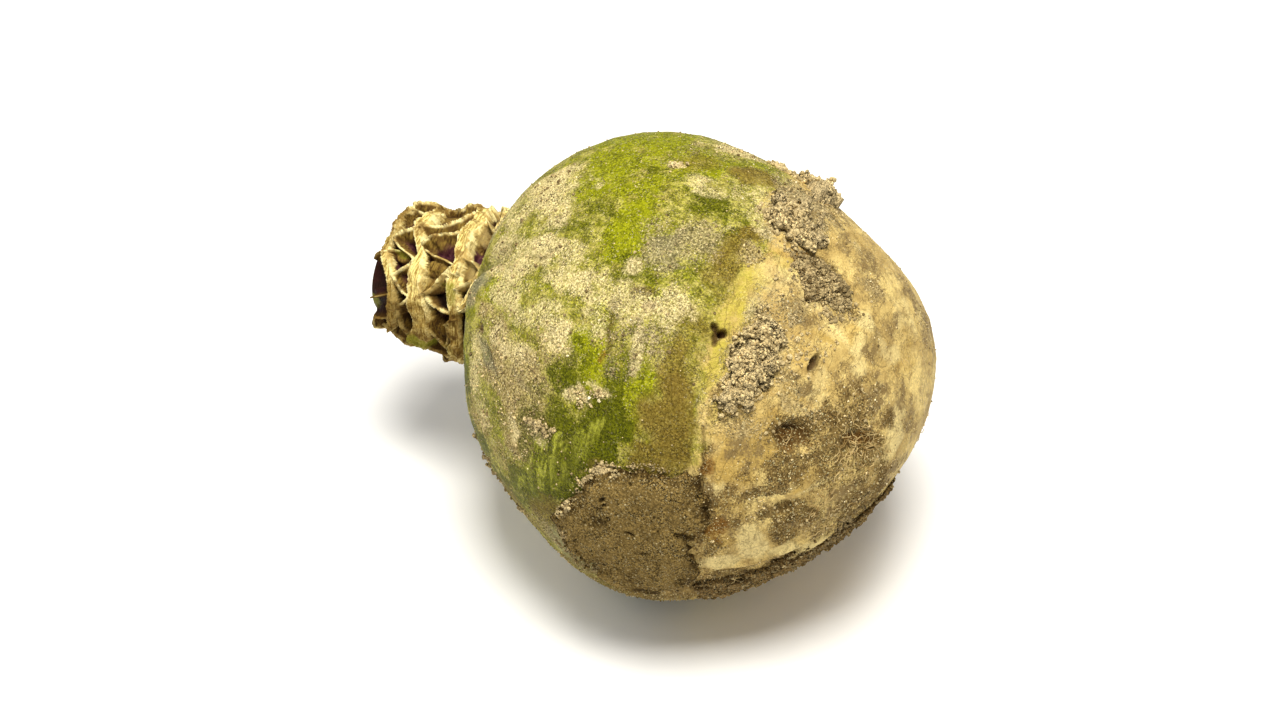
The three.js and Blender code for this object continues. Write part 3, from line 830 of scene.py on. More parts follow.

# %% [markdown]
# ## The finish of the root: cream skin
# The skin is painted from the bottom up, in the order in which things happened to it. One flat colour would
# look like plastic, so even the plain skin is several layers: cream in two tones, golden and straw-yellow
# clouds, pale places that are partly painted highlight, brown mottling, fine specks, and creases with some
# painted shade. Each layer is laid over the last by a mask or by noise.

# %% Cream skin
TAN_CREAM = (0.51, 0.355, 0.115)
PALE_CREAM = (0.78, 0.59, 0.215)
BROWNED_CREAM = (0.36, 0.24, 0.08)
GOLDEN = (0.50, 0.33, 0.08)
STRAW_YELLOW = (0.47, 0.385, 0.055)
PALE_AND_HIGHLIGHT = (0.84, 0.69, 0.31)
MOTTLED_BROWN = (0.225, 0.155, 0.06)
SPECK_BROWN = (0.23, 0.14, 0.04)
CREASE_BROWN = (0.22, 0.135, 0.045)

skin_finish, tree, shader = new_material("rutabaga_skin")
place = object_place(tree)
wide_clouds = clouds(tree, place, 14, 4, 0.6)
small_clouds = clouds(tree, place, 3.2, 4, 0.65)
fine_clouds = clouds(tree, place, 0.55, 3, 0.7)
streaks = clouds(tree, object_place(tree, (3.0, 1.0, 1.0)), 6, 5, 0.65)


def frayed_mask(tree, name, fray=0.8, soft=0.25, grain=0.8):
    """A mask of the mesh with its edge frayed by clouds and broken up into grains."""
    return use_group(tree, ragged, Mask=mask(tree, name), Fray=fray, Soft=soft, Grain=grain)["Mask"]


def laid_over(tree, under, share, cover_share, over):
    """A colour with another laid over it where a share is high, at most by the cover share."""
    return mixed(tree, times(tree, share, cover_share), under, over)


cream = mixed(tree, stretch(tree, wide_clouds, 0.38, 0.62), TAN_CREAM, PALE_CREAM)
cream = mixed(tree, stretch(tree, small_clouds, 0.48, 0.66, 0, 0.75), cream, BROWNED_CREAM)
cream = laid_over(tree, cream, frayed_mask(tree, "gold", 2.4, 0.4, 0.8), 0.8, GOLDEN)
cream = laid_over(tree, cream, frayed_mask(tree, "straw", 2.2, 0.6, 1.2), 0.95, STRAW_YELLOW)
# pale places, partly real and partly painted highlight
cream = laid_over(tree, cream, frayed_mask(tree, "pale", 1.8, 0.5, 0.6), 0.6, PALE_AND_HIGHLIGHT)
mottling = stretch(tree, streaks, 0.40, 0.54, 0.3, 0.95)
cream = laid_over(tree, cream, frayed_mask(tree, "mottle", 3.0, 0.35, 1.8), mottling, MOTTLED_BROWN)
brown_specks = plus(tree, stretch(tree, fine_clouds, 0.52, 0.64), stretch(tree, streaks, 0.52, 0.64))
cream = laid_over(tree, cream, brown_specks, 0.30, SPECK_BROWN)

# fine creases: a groove from the bump, with brown laid along it, partly dirt and partly painted shade
wrinkle = clouds(tree, object_place(tree, (1.8, 1.0, 1.0)), 8, 5, 0.6, 0.8)
crease = stretch(tree, maths(tree, "ABSOLUTE", minus(tree, wrinkle, 0.5)), 0.0, 0.022, 1.0, 0.0)
cream = laid_over(tree, cream, crease, 0.28, CREASE_BROWN)
print("Cream skin:", len(tree.nodes), "nodes so far")

# %% [markdown]
# ## The finish of the root: green skin
# Where light reached the skin it is green, in blotches a few millimetres wide with fine light and dark
# flecks. Moss and olive lie over that, and the "green" mask lays the whole of it over the cream. Scratches
# and the grey collar come last, because they cut through both.

# %% Green skin
OLD_GREEN = (0.215, 0.19, 0.024)
FADED_GREEN = (0.46, 0.40, 0.10)
LIME_GREEN = (0.245, 0.255, 0.003)
BLOTCH_GREEN = (0.13, 0.135, 0.004)
LIGHT_FLECK = (0.42, 0.41, 0.015)
DARK_FLECK = (0.075, 0.08, 0.005)
DEEP_MOSS = (0.055, 0.060, 0.001)
LIGHT_MOSS = (0.135, 0.14, 0.003)
DARK_OLIVE = (0.12, 0.078, 0.010)
LIGHT_OLIVE = (0.23, 0.16, 0.028)
SCRATCH_GREEN = (0.36, 0.36, 0.04)
COLLAR_GREY = (0.31, 0.29, 0.15)

leaf_green = mixed(tree, stretch(tree, small_clouds, 0.40, 0.60), OLD_GREEN, FADED_GREEN)
leaf_green = mixed(tree, frayed_mask(tree, "lime", 2.2, 0.3, 1.6), leaf_green, LIME_GREEN)
blotches = stretch(tree, clouds(tree, object_place(tree, (1.0, 1.6, 1.0)), 2.6, 4, 0.7), 0.48, 0.57, 0, 0.75)
leaf_green = mixed(tree, blotches, leaf_green, BLOTCH_GREEN)
leaf_green = mixed(tree, stretch(tree, fine_clouds, 0.52, 0.64, 0, 0.6), leaf_green, LIGHT_FLECK)
leaf_green = mixed(tree, stretch(tree, fine_clouds, 0.47, 0.34, 0, 0.75), leaf_green, DARK_FLECK)
mossy = frayed_mask(tree, "moss", 2.0, 0.3, 1.3)
moss_tone = mixed(tree, stretch(tree, fine_clouds, 0.40, 0.60), DEEP_MOSS, LIGHT_MOSS)
leaf_green = mixed(tree, mossy, leaf_green, moss_tone)
olive = frayed_mask(tree, "olive", 0.9, 0.75, 0.8)
olive_tone = mixed(tree, stretch(tree, fine_clouds, 0.40, 0.60), DARK_OLIVE, LIGHT_OLIVE)
leaf_green = mixed(tree, olive, leaf_green, olive_tone)
skin = mixed(tree, frayed_mask(tree, "green", 1.6, 0.4, 1.0), cream, leaf_green)
skin = laid_over(tree, skin, mask(tree, "scratch"), stretch(tree, streaks, 0.42, 0.56), SCRATCH_GREEN)
skin = laid_over(tree, skin, mask(tree, "collar"), 0.8, COLLAR_GREY)
print("Green skin:", len(tree.nodes), "nodes so far")

# %% [markdown]
# ## The finish of the root: dust and soil
# Dirt has two tones of each kind, mixed by fine clouds, so that it reads as powder and not as paint. Where
# moss or olive grows, the skin is clean, so clay is held back there. The darkest layer is last: the
# cracks and holes, where no light comes.

# %% Dust and soil on the skin
DAMP_CLAY = (0.20, 0.14, 0.055)
DRY_CLAY = (0.55, 0.42, 0.19)
DUST_SHADE = (0.40, 0.315, 0.125)
DUST_LIGHT = (0.90, 0.75, 0.39)
ASH_SHADE = (0.13, 0.10, 0.05)
ASH_LIGHT = (0.46, 0.37, 0.195)
DARK_STAIN = (0.068, 0.040, 0.011)
LIGHT_STAIN = (0.222, 0.142, 0.046)
RUST_BROWN = (0.20, 0.085, 0.012)
SLATE_GREY = (0.13, 0.125, 0.09)
MAROON = (0.10, 0.03, 0.035)
CRACK_DARK = (0.06, 0.03, 0.01)

clean = times(tree, plus(tree, mossy, olive, clamp=True), 0.7)
clean = minus(tree, 1.0, clean)
clayey = times(tree, frayed_mask(tree, "clay", 2.4, 0.5, 2.2), clean)
clay_tone = mixed(tree, stretch(tree, fine_clouds, 0.40, 0.60), DAMP_CLAY, DRY_CLAY)
skin = laid_over(tree, skin, clayey, 0.85, clay_tone)
dusty = frayed_mask(tree, "dust", 2.4, 0.5, 2.2)
dust_tone = mixed(tree, stretch(tree, fine_clouds, 0.38, 0.60), DUST_SHADE, DUST_LIGHT)
skin = laid_over(tree, skin, dusty, 0.78, dust_tone)
ashen = frayed_mask(tree, "ash", 3.0, 0.3, 3.0)
ash_tone = mixed(tree, stretch(tree, fine_clouds, 0.42, 0.60), ASH_SHADE, ASH_LIGHT)
skin = laid_over(tree, skin, ashen, 0.72, ash_tone)
stained = frayed_mask(tree, "stain", 2.6, 0.4, 2.4)
stain_tone = mixed(tree, stretch(tree, fine_clouds, 0.40, 0.60), DARK_STAIN, LIGHT_STAIN)
skin = laid_over(tree, skin, stained, 0.9, stain_tone)
skin = laid_over(tree, skin, frayed_mask(tree, "rust", 1.6, 0.3), 0.7, RUST_BROWN)
skin = laid_over(tree, skin, mask(tree, "slate"), 0.6, SLATE_GREY)
skin = laid_over(tree, skin, mask(tree, "maroon"), 0.75, MAROON)
# painted shade in the cracks and holes
skin = mixed(tree, mask(tree, "hollow"), skin, CRACK_DARK)
print("Dust and soil:", len(tree.nodes), "nodes so far")

# %% [markdown]
# ## The finish of the root: grit, gloss and grain
# Grit lies over all of it, most where there is dirt. Dirt is also duller than skin, so the same masks steer
# the roughness. Fine wrinkles and grains are raised with the Bump node.

# %% Finish the root's material
LIGHT_GRIT = (0.90, 0.80, 0.42)
DARK_GRIT = (0.055, 0.038, 0.010)

dusty = plus(tree, dusty, clayey, clamp=True)
dirt = plus(tree, plus(tree, dusty, ashen), stained, clamp=True)
amount = stretch(tree, plus(tree, dirt, mask(tree, "green")), 0.0, 1.3, 0.35, 0.9)
grains = use_group(tree, grit, Amount=amount)
skin = mixed(tree, 1.0, skin, grains["Tone"], "MULTIPLY")
light_share = times(tree, grains["Light"], stretch(tree, dirt, 0, 1, 0.55, 0.95))
skin = laid_over(tree, skin, light_share, clean, LIGHT_GRIT)
skin = laid_over(tree, skin, grains["Dark"], stretch(tree, dirt, 0, 1, 0.2, 0.6), DARK_GRIT)
surface(tree, shader, skin, roughness=stretch(tree, dirt, 0, 1, 0.55, 0.95), gloss=0.06)
wrinkles = times(tree, plus(tree, small_clouds, fine_clouds), 0.5)
wrinkles = minus(tree, wrinkles, times(tree, crease, 0.4))
bump(tree, shader, plus(tree, grains["Height"], wrinkles), distance=0.32)

root.data.materials.append(skin_finish)
only(root)
bpy.ops.object.shade_smooth()
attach(root, "root")
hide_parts("root")
print("Root material has", len(tree.nodes), "nodes")

# %% [markdown]
# ## The neck: rings of leaf scars
# Where leaves grew, the neck keeps their scars. Each whorl of leaves left a papery ring round the neck, and
# between two rings stand slanting folds, so that the scar faces lie in a net of triangles. A place on the
# neck is given by "along", in mm from the root to the tip, and by the same "around" as on the skin. The rings
# and folds stand where they stand on the measured neck. Rings are flat strips with a width; folds are sharp
# crests that slope down on both sides; and the cells between them are plates or pits.

# %% The neck's rings, folds and cells
BANDS = [  # flat strips: corners (along, around, half width in mm), height
    ([(4.6, -34, 0.8), (3, -8, 0.9), (1.2, 12, 0.9), (1, 22, 0.9), (2, 36, 0.9), (3, 48, 0.8),
      (4.7, 56, 0.6), (7.3, 64, 0.4)], 2.2),
    ([(9, -60, 1.3), (10.4, -38, 1.7), (9.3, -10, 1.6), (9.4, 2, 1.7), (9.6, 12, 1.9), (9.7, 22, 1.9),
      (9.6, 30, 1.6), (9.4, 38, 1.2)], 3),
    ([(9.4, 38, 1.2), (10.2, 48, 1.8), (10, 58, 1.7), (9.3, 70, 1.7), (9, 84, 1.6),
      (8.6, 104, 1.6)], 1.8),
    ([(22.4, -50, 1.2), (22.6, -30, 1.1), (22.2, -14, 1.4), (22.8, 0, 1.5), (22.3, 10, 0.9), (21.6, 20, 0.8),
      (20.6, 30, 0.8), (20.1, 38, 1), (19.4, 46, 1.4), (19, 58, 1.4), (18.4, 68, 1.8), (17.6, 82, 2.2),
      (17.6, 98, 2.4), (19.5, 116, 2.2), (20.5, 140, 1.8)], 2.9),
    ([(31.5, -24, 0.6), (30.9, -6, 0.6), (30, 8, 0.6), (30.2, 22, 0.6), (29.8, 34, 0.6), (28.6, 44, 0.7),
      (27.4, 54, 0.7), (26.2, 64, 0.7), (25.6, 76, 0.8), (26, 90, 0.9), (27.2, 108, 0.9),
      (28.5, 130, 1)], 2.6),
    # the hidden side
    ([(3, 96, 0.8), (4.4, 130, 0.9), (3.2, 170, 0.9), (4.6, 210, 0.8), (3.4, 250, 0.9), (4.6, 290, 0.9),
      (4.6, 326, 0.8)], 2.2),
    ([(8.6, 104, 1.6), (11, 140, 1.5), (9.8, 175, 1.6), (11.4, 210, 1.4), (10.2, 250, 1.6),
      (9, 300, 1.3)], 2.8),
    ([(20.5, 140, 1.8), (22, 175, 1.3), (20.8, 205, 1.5), (22.8, 240, 1.2), (21.4, 275, 1.4),
      (22.4, 310, 1.2)], 2.8),
    ([(28.5, 130, 1), (30.4, 165, 0.7), (29.2, 205, 0.8), (31, 245, 0.6), (30, 285, 0.7),
      (31.5, 336, 0.6)], 2.5),
]
CRESTS = [  # sharp folds: corners (along, around), height, how far they slope down on either side in mm
    ([(30.2, 37), (28.4, 33), (26.4, 32)], 2.4, 1.4, 2),
    ([(28.3, 23), (26.4, 29), (24.1, 32), (21.2, 37)], 2.6, 2.2, 2.6),
    ([(28.5, 22), (27, 17), (25.5, 16), (23.4, 13), (22.6, 10)], 2.6, 1.6, 2),
    ([(26.3, 54), (24.5, 48), (22.8, 44), (20.8, 38)], 2.9, 3, 1.2),
    ([(26.3, 54), (24.8, 60), (23.1, 64), (20.4, 66)], 2.3, 2.4, 1.6),
    ([(20.4, 68), (23, 78), (24.4, 90)], 2.5, 2.6, 1.4),
    ([(24.4, 90), (23.4, 98), (22.3, 105), (20.2, 112)], 2.5, 1.6, 2.4),
    ([(20, 23), (17.9, 17), (15.9, 12), (13.5, 10), (11, 9)], 3, 1.6, 2.6),
    ([(19.4, 27), (17.1, 30), (14.4, 31), (11.4, 34)], 2.3, 1.4, 2.4),
    ([(10.5, 37), (11.9, 43), (13.2, 51), (15.4, 58), (17.2, 62)], 3, 4.5, 0.8),
    ([(16.8, 62), (15.3, 67), (13.9, 71), (11, 73)], 2.4, 0.9, 2),
    ([(8.6, 52), (6.9, 48), (4.4, 43), (2.6, 40)], 2.1, 2.4, 1),
    ([(8.6, 29), (5.5, 29), (2, 34)], 2.1, 1, 2.2),
    ([(22, 9), (19.3, 6), (16.8, 1), (13.8, -6), (11.4, -21)], 3, 1.4, 3),
    ([(11.4, 83), (10.2, 78), (8.2, 74)], 2.4, 1.4, 1.6),
    ([(11.1, 82), (10.6, 94), (11.6, 108)], 1.8, 1.2, 2.2),
    ([(10.4, -28), (6.8, -10), (4.3, -1), (2, 4)], 2.4, 2, 1.6),
    ([(7.8, 66), (5.3, 66), (2.4, 60)], 2.2, 0.8, 0.8),
    ([(17, 82), (14, 100), (10.4, 112)], 2, 2, 1.8),
    ([(32, 44), (31.2, 40), (30, 34)], 1.9, 1.2, 1.8),
    ([(31.8, 82), (30, 78), (26.5, 70)], 1.8, 1.8, 1.4),
    ([(32, 6), (31.4, 2), (30.6, -4)], 1.9, 1.4, 1.6),
    ([(32, 109), (30.2, 104), (26.8, 100)], 1.9, 1.6, 1.6),
    ([(30.6, -8), (27.5, -16), (24, -10)], 2.5, 2, 1.6),
    ([(31, -34), (27, -28), (23.5, -38)], 2.8, 1.8, 1.8),
    ([(21.6, -36), (17, -44), (11, -36)], 2.7, 2.2, 1.6),
]
PLATES = [  # scar faces that lie higher than the floor: along, around, half sizes, height in mm
    (15.5, 38, 3.4, 9, 0.9), (7.5, 3, 2.6, 11, 1.2), (6.4, 38, 2.4, 8, 0.8), (14.4, 94, 4, 14, 1.2),
    (17.6, -22, 4, 14, 0.4), (26.6, 4, 3.2, 11, 0.2), (25.6, 36, 2.2, 6, 0.6),
]
PITS = [  # hollow cells that go deeper: the same, with the depth
    (15.4, 65, 2.4, 6, 1.9), (13.6, 68, 1.8, 5, 1.2), (7.6, 55, 2, 7, 1.3), (22.6, 100, 2, 8, 0.9),
    (10.4, 89, 1.6, 5, 0.8), (4.5, 80, 3, 10, 2), (32, 62, 2, 10, 0.5), (4.6, -28, 2, 10, 1),
    (24.2, 54, 1.6, 5, 0.7), (2, 70, 2.4, 8, 2),
]
print("Neck:", len(BANDS), "bands,", len(CRESTS), "crests,", len(PLATES), "plates and", len(PITS), "pits")

# %% [markdown]
# ## The neck: how high the net stands
# The net is a height over a plain neck: first the floor of the cells, then band by band and crest by crest
# whatever is higher. Straps extruded one by one would leave seams where they meet, and taking the higher of
# two heights joins them without one. Noise tears the rims. The finish also needs to know how near a rim is
# and where the flat strips lie. The hidden side gets zigzag folds of the same kind from a seeded draw.

# %% Numbers of the net, and its hidden side
FLOOR_DEPTH = 2.0  # mm, how deep the cells lie under the plain neck
NET_RADIUS = 19.0  # mm, the radius at which degrees around are turned into mm on the net
LEAN_BACK = 0.7  # mm that rims are set back, so that they stand in their places once they lean
HIDDEN_ROWS = ((4.0, 9.5), (11.0, 20.5), (22.5, 29.0), (30.0, 32.4))  # from and to, in mm along
HIDDEN_FROM, HIDDEN_TO, HIDDEN_STEP = 122, 318, 24  # degrees around


def hidden_crests():
    """Zigzag folds between the rings on the side that faces away."""
    draw = random.Random(7)
    crests = []
    for low, high in HIDDEN_ROWS:
        for count, start in enumerate(range(HIDDEN_FROM, HIDDEN_TO, HIDDEN_STEP)):
            lean = draw.uniform(8, 15) * (1 if count % 2 else -1)
            middle = (low + high) / 2 + draw.uniform(-0.8, 0.8)
            corners = [(low, start - lean), (middle, start + draw.uniform(-2, 2)), (high, start + lean)]
            crests.append((corners, draw.uniform(2.1, 2.9), draw.uniform(1.2, 3.2), draw.uniform(1.0, 2.4)))
    return crests


print("Hidden side:", len(hidden_crests()), "folds")

# %% Heights of the net
def to_line(along, around, corners):
    """Distance to a line of corners in mm, the side it is on, and the corners' third value there."""
    nearest = np.full(len(along), 1e9)
    side = np.zeros(len(along))
    third = np.zeros(len(along))
    mm_per_degree = math.radians(NET_RADIUS)
    for start, end in zip(corners, corners[1:]):
        x, y = along - start[0], turn_between(start[1], around) * mm_per_degree
        dx, dy = end[0] - start[0], (end[1] - start[1]) * mm_per_degree
        t = np.clip((x * dx + y * dy) / (dx * dx + dy * dy), 0, 1)
        distance = np.hypot(x - t * dx, y - t * dy)
        closer = distance < nearest
        nearest = np.where(closer, distance, nearest)
        side = np.where(closer, np.sign((dx * y - dy * x) * np.sign(dx + 1e-9)), side)
        if len(start) > 2:
            third = np.where(closer, start[2] + (end[2] - start[2]) * t, third)
    return nearest, side, third


def bell(distance, reach):
    """1 at no distance, falling softly to 0 past the reach."""
    return np.exp(-((distance / reach) ** 2))


def neck_relief(along, around, rough, torn):
    """The height of the net over the neck's skin, how near a rim is (1 on it), and where the strips lie."""
    height = np.full(len(along), -FLOOR_DEPTH)
    rim_near = np.zeros(len(along))
    strip = np.zeros(len(along))
    for spot in PLATES:
        share = oval(along + 1.2 * torn, around + 7 * rough, (*spot[:4], 1))
        height = np.maximum(height, -FLOOR_DEPTH + share * (spot[4] + FLOOR_DEPTH))
    for spot in PITS:
        height = height - oval(along, around, spot)
    wander = along + LEAN_BACK + 0.5 * rough
    fade = 1 - 0.85 * smooth_step(along, 30.2, 32.6)
    for corners, rise in BANDS:
        distance, _, half = to_line(wander, around, corners)
        rim = rise * (1 + 0.22 * rough + 0.6 * torn) * fade
        top = 1 - smooth_step(distance, half, half + 0.4)
        dished = 0.80 + 0.20 * np.clip(distance / np.maximum(half, 0.3), 0, 1) ** 3
        candidate = (rim * dished + FLOOR_DEPTH) * top - FLOOR_DEPTH
        higher = candidate > height
        height = np.where(higher, candidate, height)
        rim_near = np.where(higher, bell(distance - half, 0.3), rim_near)
        strip = np.where(higher, top, strip)
    for corners, rise, before, after in CRESTS + hidden_crests():
        distance, side, _ = to_line(wander, around, corners)
        slope = np.where(side < 0, before, after)
        rim = rise * (1 + 0.22 * rough + 0.6 * torn) * fade + 0.4 * bell(distance, 0.3)
        past_rim = np.clip((distance - 0.18) / slope, 0, 1.4)
        candidate = rim - (rise + FLOOR_DEPTH) * past_rim ** 0.7
        higher = candidate > height
        height = np.where(higher, candidate, height)
        rim_near = np.where(higher, bell(distance, 0.35), rim_near)
        strip = np.where(higher, 0, strip)
    return height * smooth_step(along, -0.5, 2.5), rim_near, strip


print("The net rises from a floor", FLOOR_DEPTH, "mm deep")

# %% [markdown]
# ## The neck: roll the sheet
# The whole net is one surface. A grid is rolled into a tube by working out a place for each of its points:
# the first rows close the tube inside the root, the last ones close it over the dished tip, and the rest
# follow the bent, tapering neck with the net's height on top. Rims lean towards the tip, as dry leaf bases
# do, which hides part of the cells behind them.

# %% Measures and bend of the neck
SHEET_ROWS = 250
SHEET_COLUMNS = 360
INSIDE_ROWS = 8  # rows of the sheet that close the tube inside the root
TIP_ROWS = 36  # and rows that close it over the dished tip
NECK_RADIUS = 20.0  # mm, as all that follows here
NECK_TIP_RADIUS = 14.5
NECK_LENGTH = 33.0
START_ALONG = -7.0  # the tube starts this deep inside the root
FOOT_REACH = 59.5  # from the middle of the root to the line where the neck leaves it
FOOT_ALONG = FOOT_REACH * math.cos(math.asin(NECK_RADIUS / FOOT_REACH))
FOOT_FLARE = 2.2
NECK_BEND = 8.0  # the length over which the neck bends
NECK_LEAN = 11.0  # degrees towards the front
NECK_LIFT = 3.0  # degrees upwards
LEAN = 0.7  # how far a rim leans towards the tip, for each mm of its height
TIP_SLANT = 2.0
TIP_HOLLOW = 3.0
CROWN_RELIEF = 1.6
TIP_SQUEEZE_FROM = -88.0  # beyond this X the last ridges are squeezed, so that none sticks out of the box
TIP_ROOM = 2.0
NOISE_RADIUS = 18  # the noise is read on a tube of this radius, so that it has no seam


def neck_places(along, around, radius):
    """Points of the bent neck, in mm from the middle of the root."""
    reach = np.clip(along, 0, NECK_BEND)
    arc = NECK_BEND / math.radians(NECK_LEAN)
    turn = reach / arc
    straight = along - reach
    front = radius * np.sin(np.radians(around))
    return np.stack([
        -FOOT_ALONG - arc * np.sin(turn) - straight * np.cos(turn) + front * np.sin(turn),
        -arc * (1 - np.cos(turn)) - straight * np.sin(turn) - front * np.cos(turn),
        along * math.tan(math.radians(NECK_LIFT)) + radius * np.cos(np.radians(around)),
    ], axis=1)


print("The neck's foot is", round(FOOT_ALONG, 1), "mm from the middle of the root")

# %% Roll the sheet
bpy.ops.mesh.primitive_grid_add(
    x_subdivisions=SHEET_ROWS, y_subdivisions=SHEET_COLUMNS, size=2, location=(0, 0, 0),
)
neck = bpy.context.object
neck.name = "leaf_scar_neck"
sheet = (points_of(neck) + 1) / 2  # X from the root to the tip, Y once around
around = 360 * sheet[:, 1] - 200  # the seam lies underneath, towards the back
row = sheet[:, 0] * SHEET_ROWS
shaft = np.clip((row - INSIDE_ROWS) / (SHEET_ROWS - INSIDE_ROWS - TIP_ROWS), 0, 1)
along = START_ALONG + (NECK_LENGTH - START_ALONG) * shaft
round_tube = np.stack([np.cos(np.radians(around)), np.sin(np.radians(around)), row * 0], axis=1)
round_tube = round_tube * NOISE_RADIUS * MM + np.stack([along * 0, along * 0, along * MM], axis=1)
rough = noise_at(round_tube, 2.6, 3, shift=9.0)
torn = noise_at(round_tube, 8.0, 2, shift=14.0)
relief, rim_near, strip = neck_relief(along, around, rough, torn)
taper = (np.clip(along, 0, NECK_LENGTH) / NECK_LENGTH) ** 0.8
flare = FOOT_FLARE * smooth_step(-along, -3.0, 1.5)
skin = NECK_RADIUS + (NECK_TIP_RADIUS - NECK_RADIUS) * taper + flare
close_inside = np.clip(row / INSIDE_ROWS, 0, 1)
close_tip = 1 - np.clip((row - (SHEET_ROWS - TIP_ROWS)) / TIP_ROWS, 0, 1)
reach = skin + relief * smooth_step(close_tip, 0.5, 1.0)
slant = TIP_SLANT * np.sin(np.radians(around)) * (np.clip(along, 0, None) / NECK_LENGTH) ** 3
lean = LEAN * np.clip(relief, 0, None)
dish = TIP_HOLLOW * (1 - close_tip ** 2) * (0.8 + 0.2 * np.sin(np.radians(3 * around)) * close_tip)
dish = dish + 0.5 * rough * np.sin(close_tip * math.pi)
leaning = along + lean * close_tip + slant * close_tip - dish
places = neck_places(leaning, around, reach * close_inside * close_tip)
crown = noise_at(places * MM, 3.0, 3, shift=21.0) + 0.5 * noise_at(places * MM, 1.2, 2, shift=25.0)
places[:, 0] += CROWN_RELIEF * crown * smooth_step(1 - close_tip, 0.0, 0.25)
past = np.clip(TIP_SQUEEZE_FROM - places[:, 0], 0, None)
places[:, 0] += past - TIP_ROOM * (1 - np.exp(-past / TIP_ROOM))
move_points(neck, places * MM + np.array(MIDDLE))
print("Neck reaches X =", round(float(places[:, 0].min()), 1), "mm")

# %% [markdown]
# ## The neck: masks
# The finish follows the shape, so the shape's own values are stored as masks: the height, the rims, the flat
# strips, the dished crown and the foot by the root. Listed spots add what differs from cell to cell: live
# maroon skin, deep shade, corky scar faces, a darker grey and algae. Then the grid's edges, which lie on each
# other, are merged into one closed skin.

# %% Masks of the neck, and its seam
NECK_SPOTS = {  # along in mm, around in degrees, half sizes, strength
    "maroon": [
        (29.6, 41, 2, 7, 1), (25.6, 23, 2.2, 7, 1), (29, 14, 2.2, 8, 1), (24.6, 53, 2, 6, 1),
        (15.2, 20, 3, 7, 1), (13.4, -6, 2.2, 7, 1), (5.8, 23, 2.4, 6, 1), (31.5, -30, 3, 14, 0.9),
        (31.5, 112, 3, 14, 0.5), (32.6, 62, 2.2, 12, 0.5), (17, -52, 3, 10, 0.8), (27, -46, 3, 9, 0.8),
        (7, -60, 3, 12, 0.6), (16, 150, 3, 12, 0.7), (26, 176, 3, 14, 0.7), (7, 200, 3, 14, 0.7),
        (16, 222, 3, 14, 0.8), (27, 250, 3, 14, 0.8), (6, 270, 3, 12, 0.6),
    ],
    "shade": [
        (15.3, 65, 2.6, 6, 1), (13.7, 69, 2.2, 5, 1), (7.9, 55, 1.8, 6, 0.7), (23, 101, 2, 8, 0.8),
        (10.6, 89, 1.8, 6, 0.8), (20.9, 18, 1.2, 5, 0.7), (4.6, 80, 2.6, 9, 1), (4.4, -26, 2.4, 10, 0.8),
        (22, 3, 1.2, 3, 0.7), (31.7, 94, 1.6, 6, 0.7), (2, 70, 2.4, 10, 1), (20.4, 128, 2, 8, 0.7),
        (26, 140, 3, 12, 0.6), (6, 165, 3, 12, 0.7), (16, 255, 3, 12, 0.7),
    ],
    "scar_face": [
        (30.7, -10, 2.4, 9, 1), (20.6, -26, 2.4, 7, 1), (15.5, 38, 3, 6, 0.8), (15.4, 52, 2.6, 8, 1),
        (7.4, 4, 2.6, 12, 1), (7.2, 37, 2.2, 6, 1), (14.6, 94, 3.6, 12, 1), (25.4, 36, 2, 5, 0.6),
        (24.8, 66, 2, 7, 0.6), (17.6, -22, 3, 10, 1), (16, 180, 3, 12, 0.9), (27, 212, 3, 12, 0.9),
        (7, 236, 3, 12, 0.9),
    ],
    # spots where the neck is darkened grey, most on the front and lower side and round the tip
    "darkened": [
        (18, 92, 5, 24, 0.9), (8, 92, 6, 22, 0.9), (27, 88, 6, 30, 1), (33, 50, 4.2, 90, 1),
        (20, -34, 3, 8, 0.8), (12, -30, 2, 6, 0.7), (2, -20, 2, 10, 0.6), (15, 44, 2, 5, 0.5),
        (9.8, 58, 1.2, 9, 0.5), (20, 150, 16, 40, 0.8), (14, 250, 14, 30, 0.7), (28, -18, 3, 10, 0.6),
    ],
    "moss": [
        (18.5, 114, 3, 10, 0.8), (34, 98, 3, 12, 0.8), (3, 92, 3, 12, 0.7), (10.1, 56, 2.4, 10, 0.6),
        (25.3, 34, 1.6, 4, 0.6), (31.1, 22, 1.6, 6, 0.5), (1, 20, 2, 26, 0.5), (10, 112, 3, 10, 0.4),
        (1, 180, 3, 60, 0.6), (20.4, 36, 1.4, 6, 0.3),
    ],
}
HIGHEST = 5.0  # mm over the floor of the cells


def merge_close(piece, distance):
    """Merges the points of a piece that lie closer than a distance in mm. All of them stay selected."""
    only(piece)
    bpy.ops.object.mode_set(mode="EDIT")
    bpy.ops.mesh.select_all(action="SELECT")
    bpy.ops.mesh.remove_doubles(threshold=distance * MM)
    bpy.ops.object.mode_set(mode="OBJECT")


store(neck, "height", np.clip((relief + FLOOR_DEPTH) / HIGHEST, 0, 1) * close_tip)
store(neck, "rim", rim_near * close_tip)
store(neck, "strip", strip * close_tip)
for name, spots in NECK_SPOTS.items():
    store(neck, name, cover(along, around, spots) * smooth_step(close_tip, 0.8, 1.0))
store(neck, "crown", 1 - close_tip)
store(neck, "foot", 1 - np.clip(along / 12, 0, 1))

merge_close(neck, 0.02)
bpy.ops.object.mode_set(mode="EDIT")
bpy.ops.mesh.normals_make_consistent(inside=False)
bpy.ops.object.mode_set(mode="OBJECT")
bpy.ops.object.shade_smooth()
print("Neck points:", len(neck.data.vertices))

# %% [markdown]
# ## The finish of the neck: cells
# Down in the cells the live skin shows dark violet where it is smooth, and tan and corky where a leaf broke
# off; the cell colours are kept very dark, partly as painted shade. The crown in the middle of the tip is
# brown and flaky.

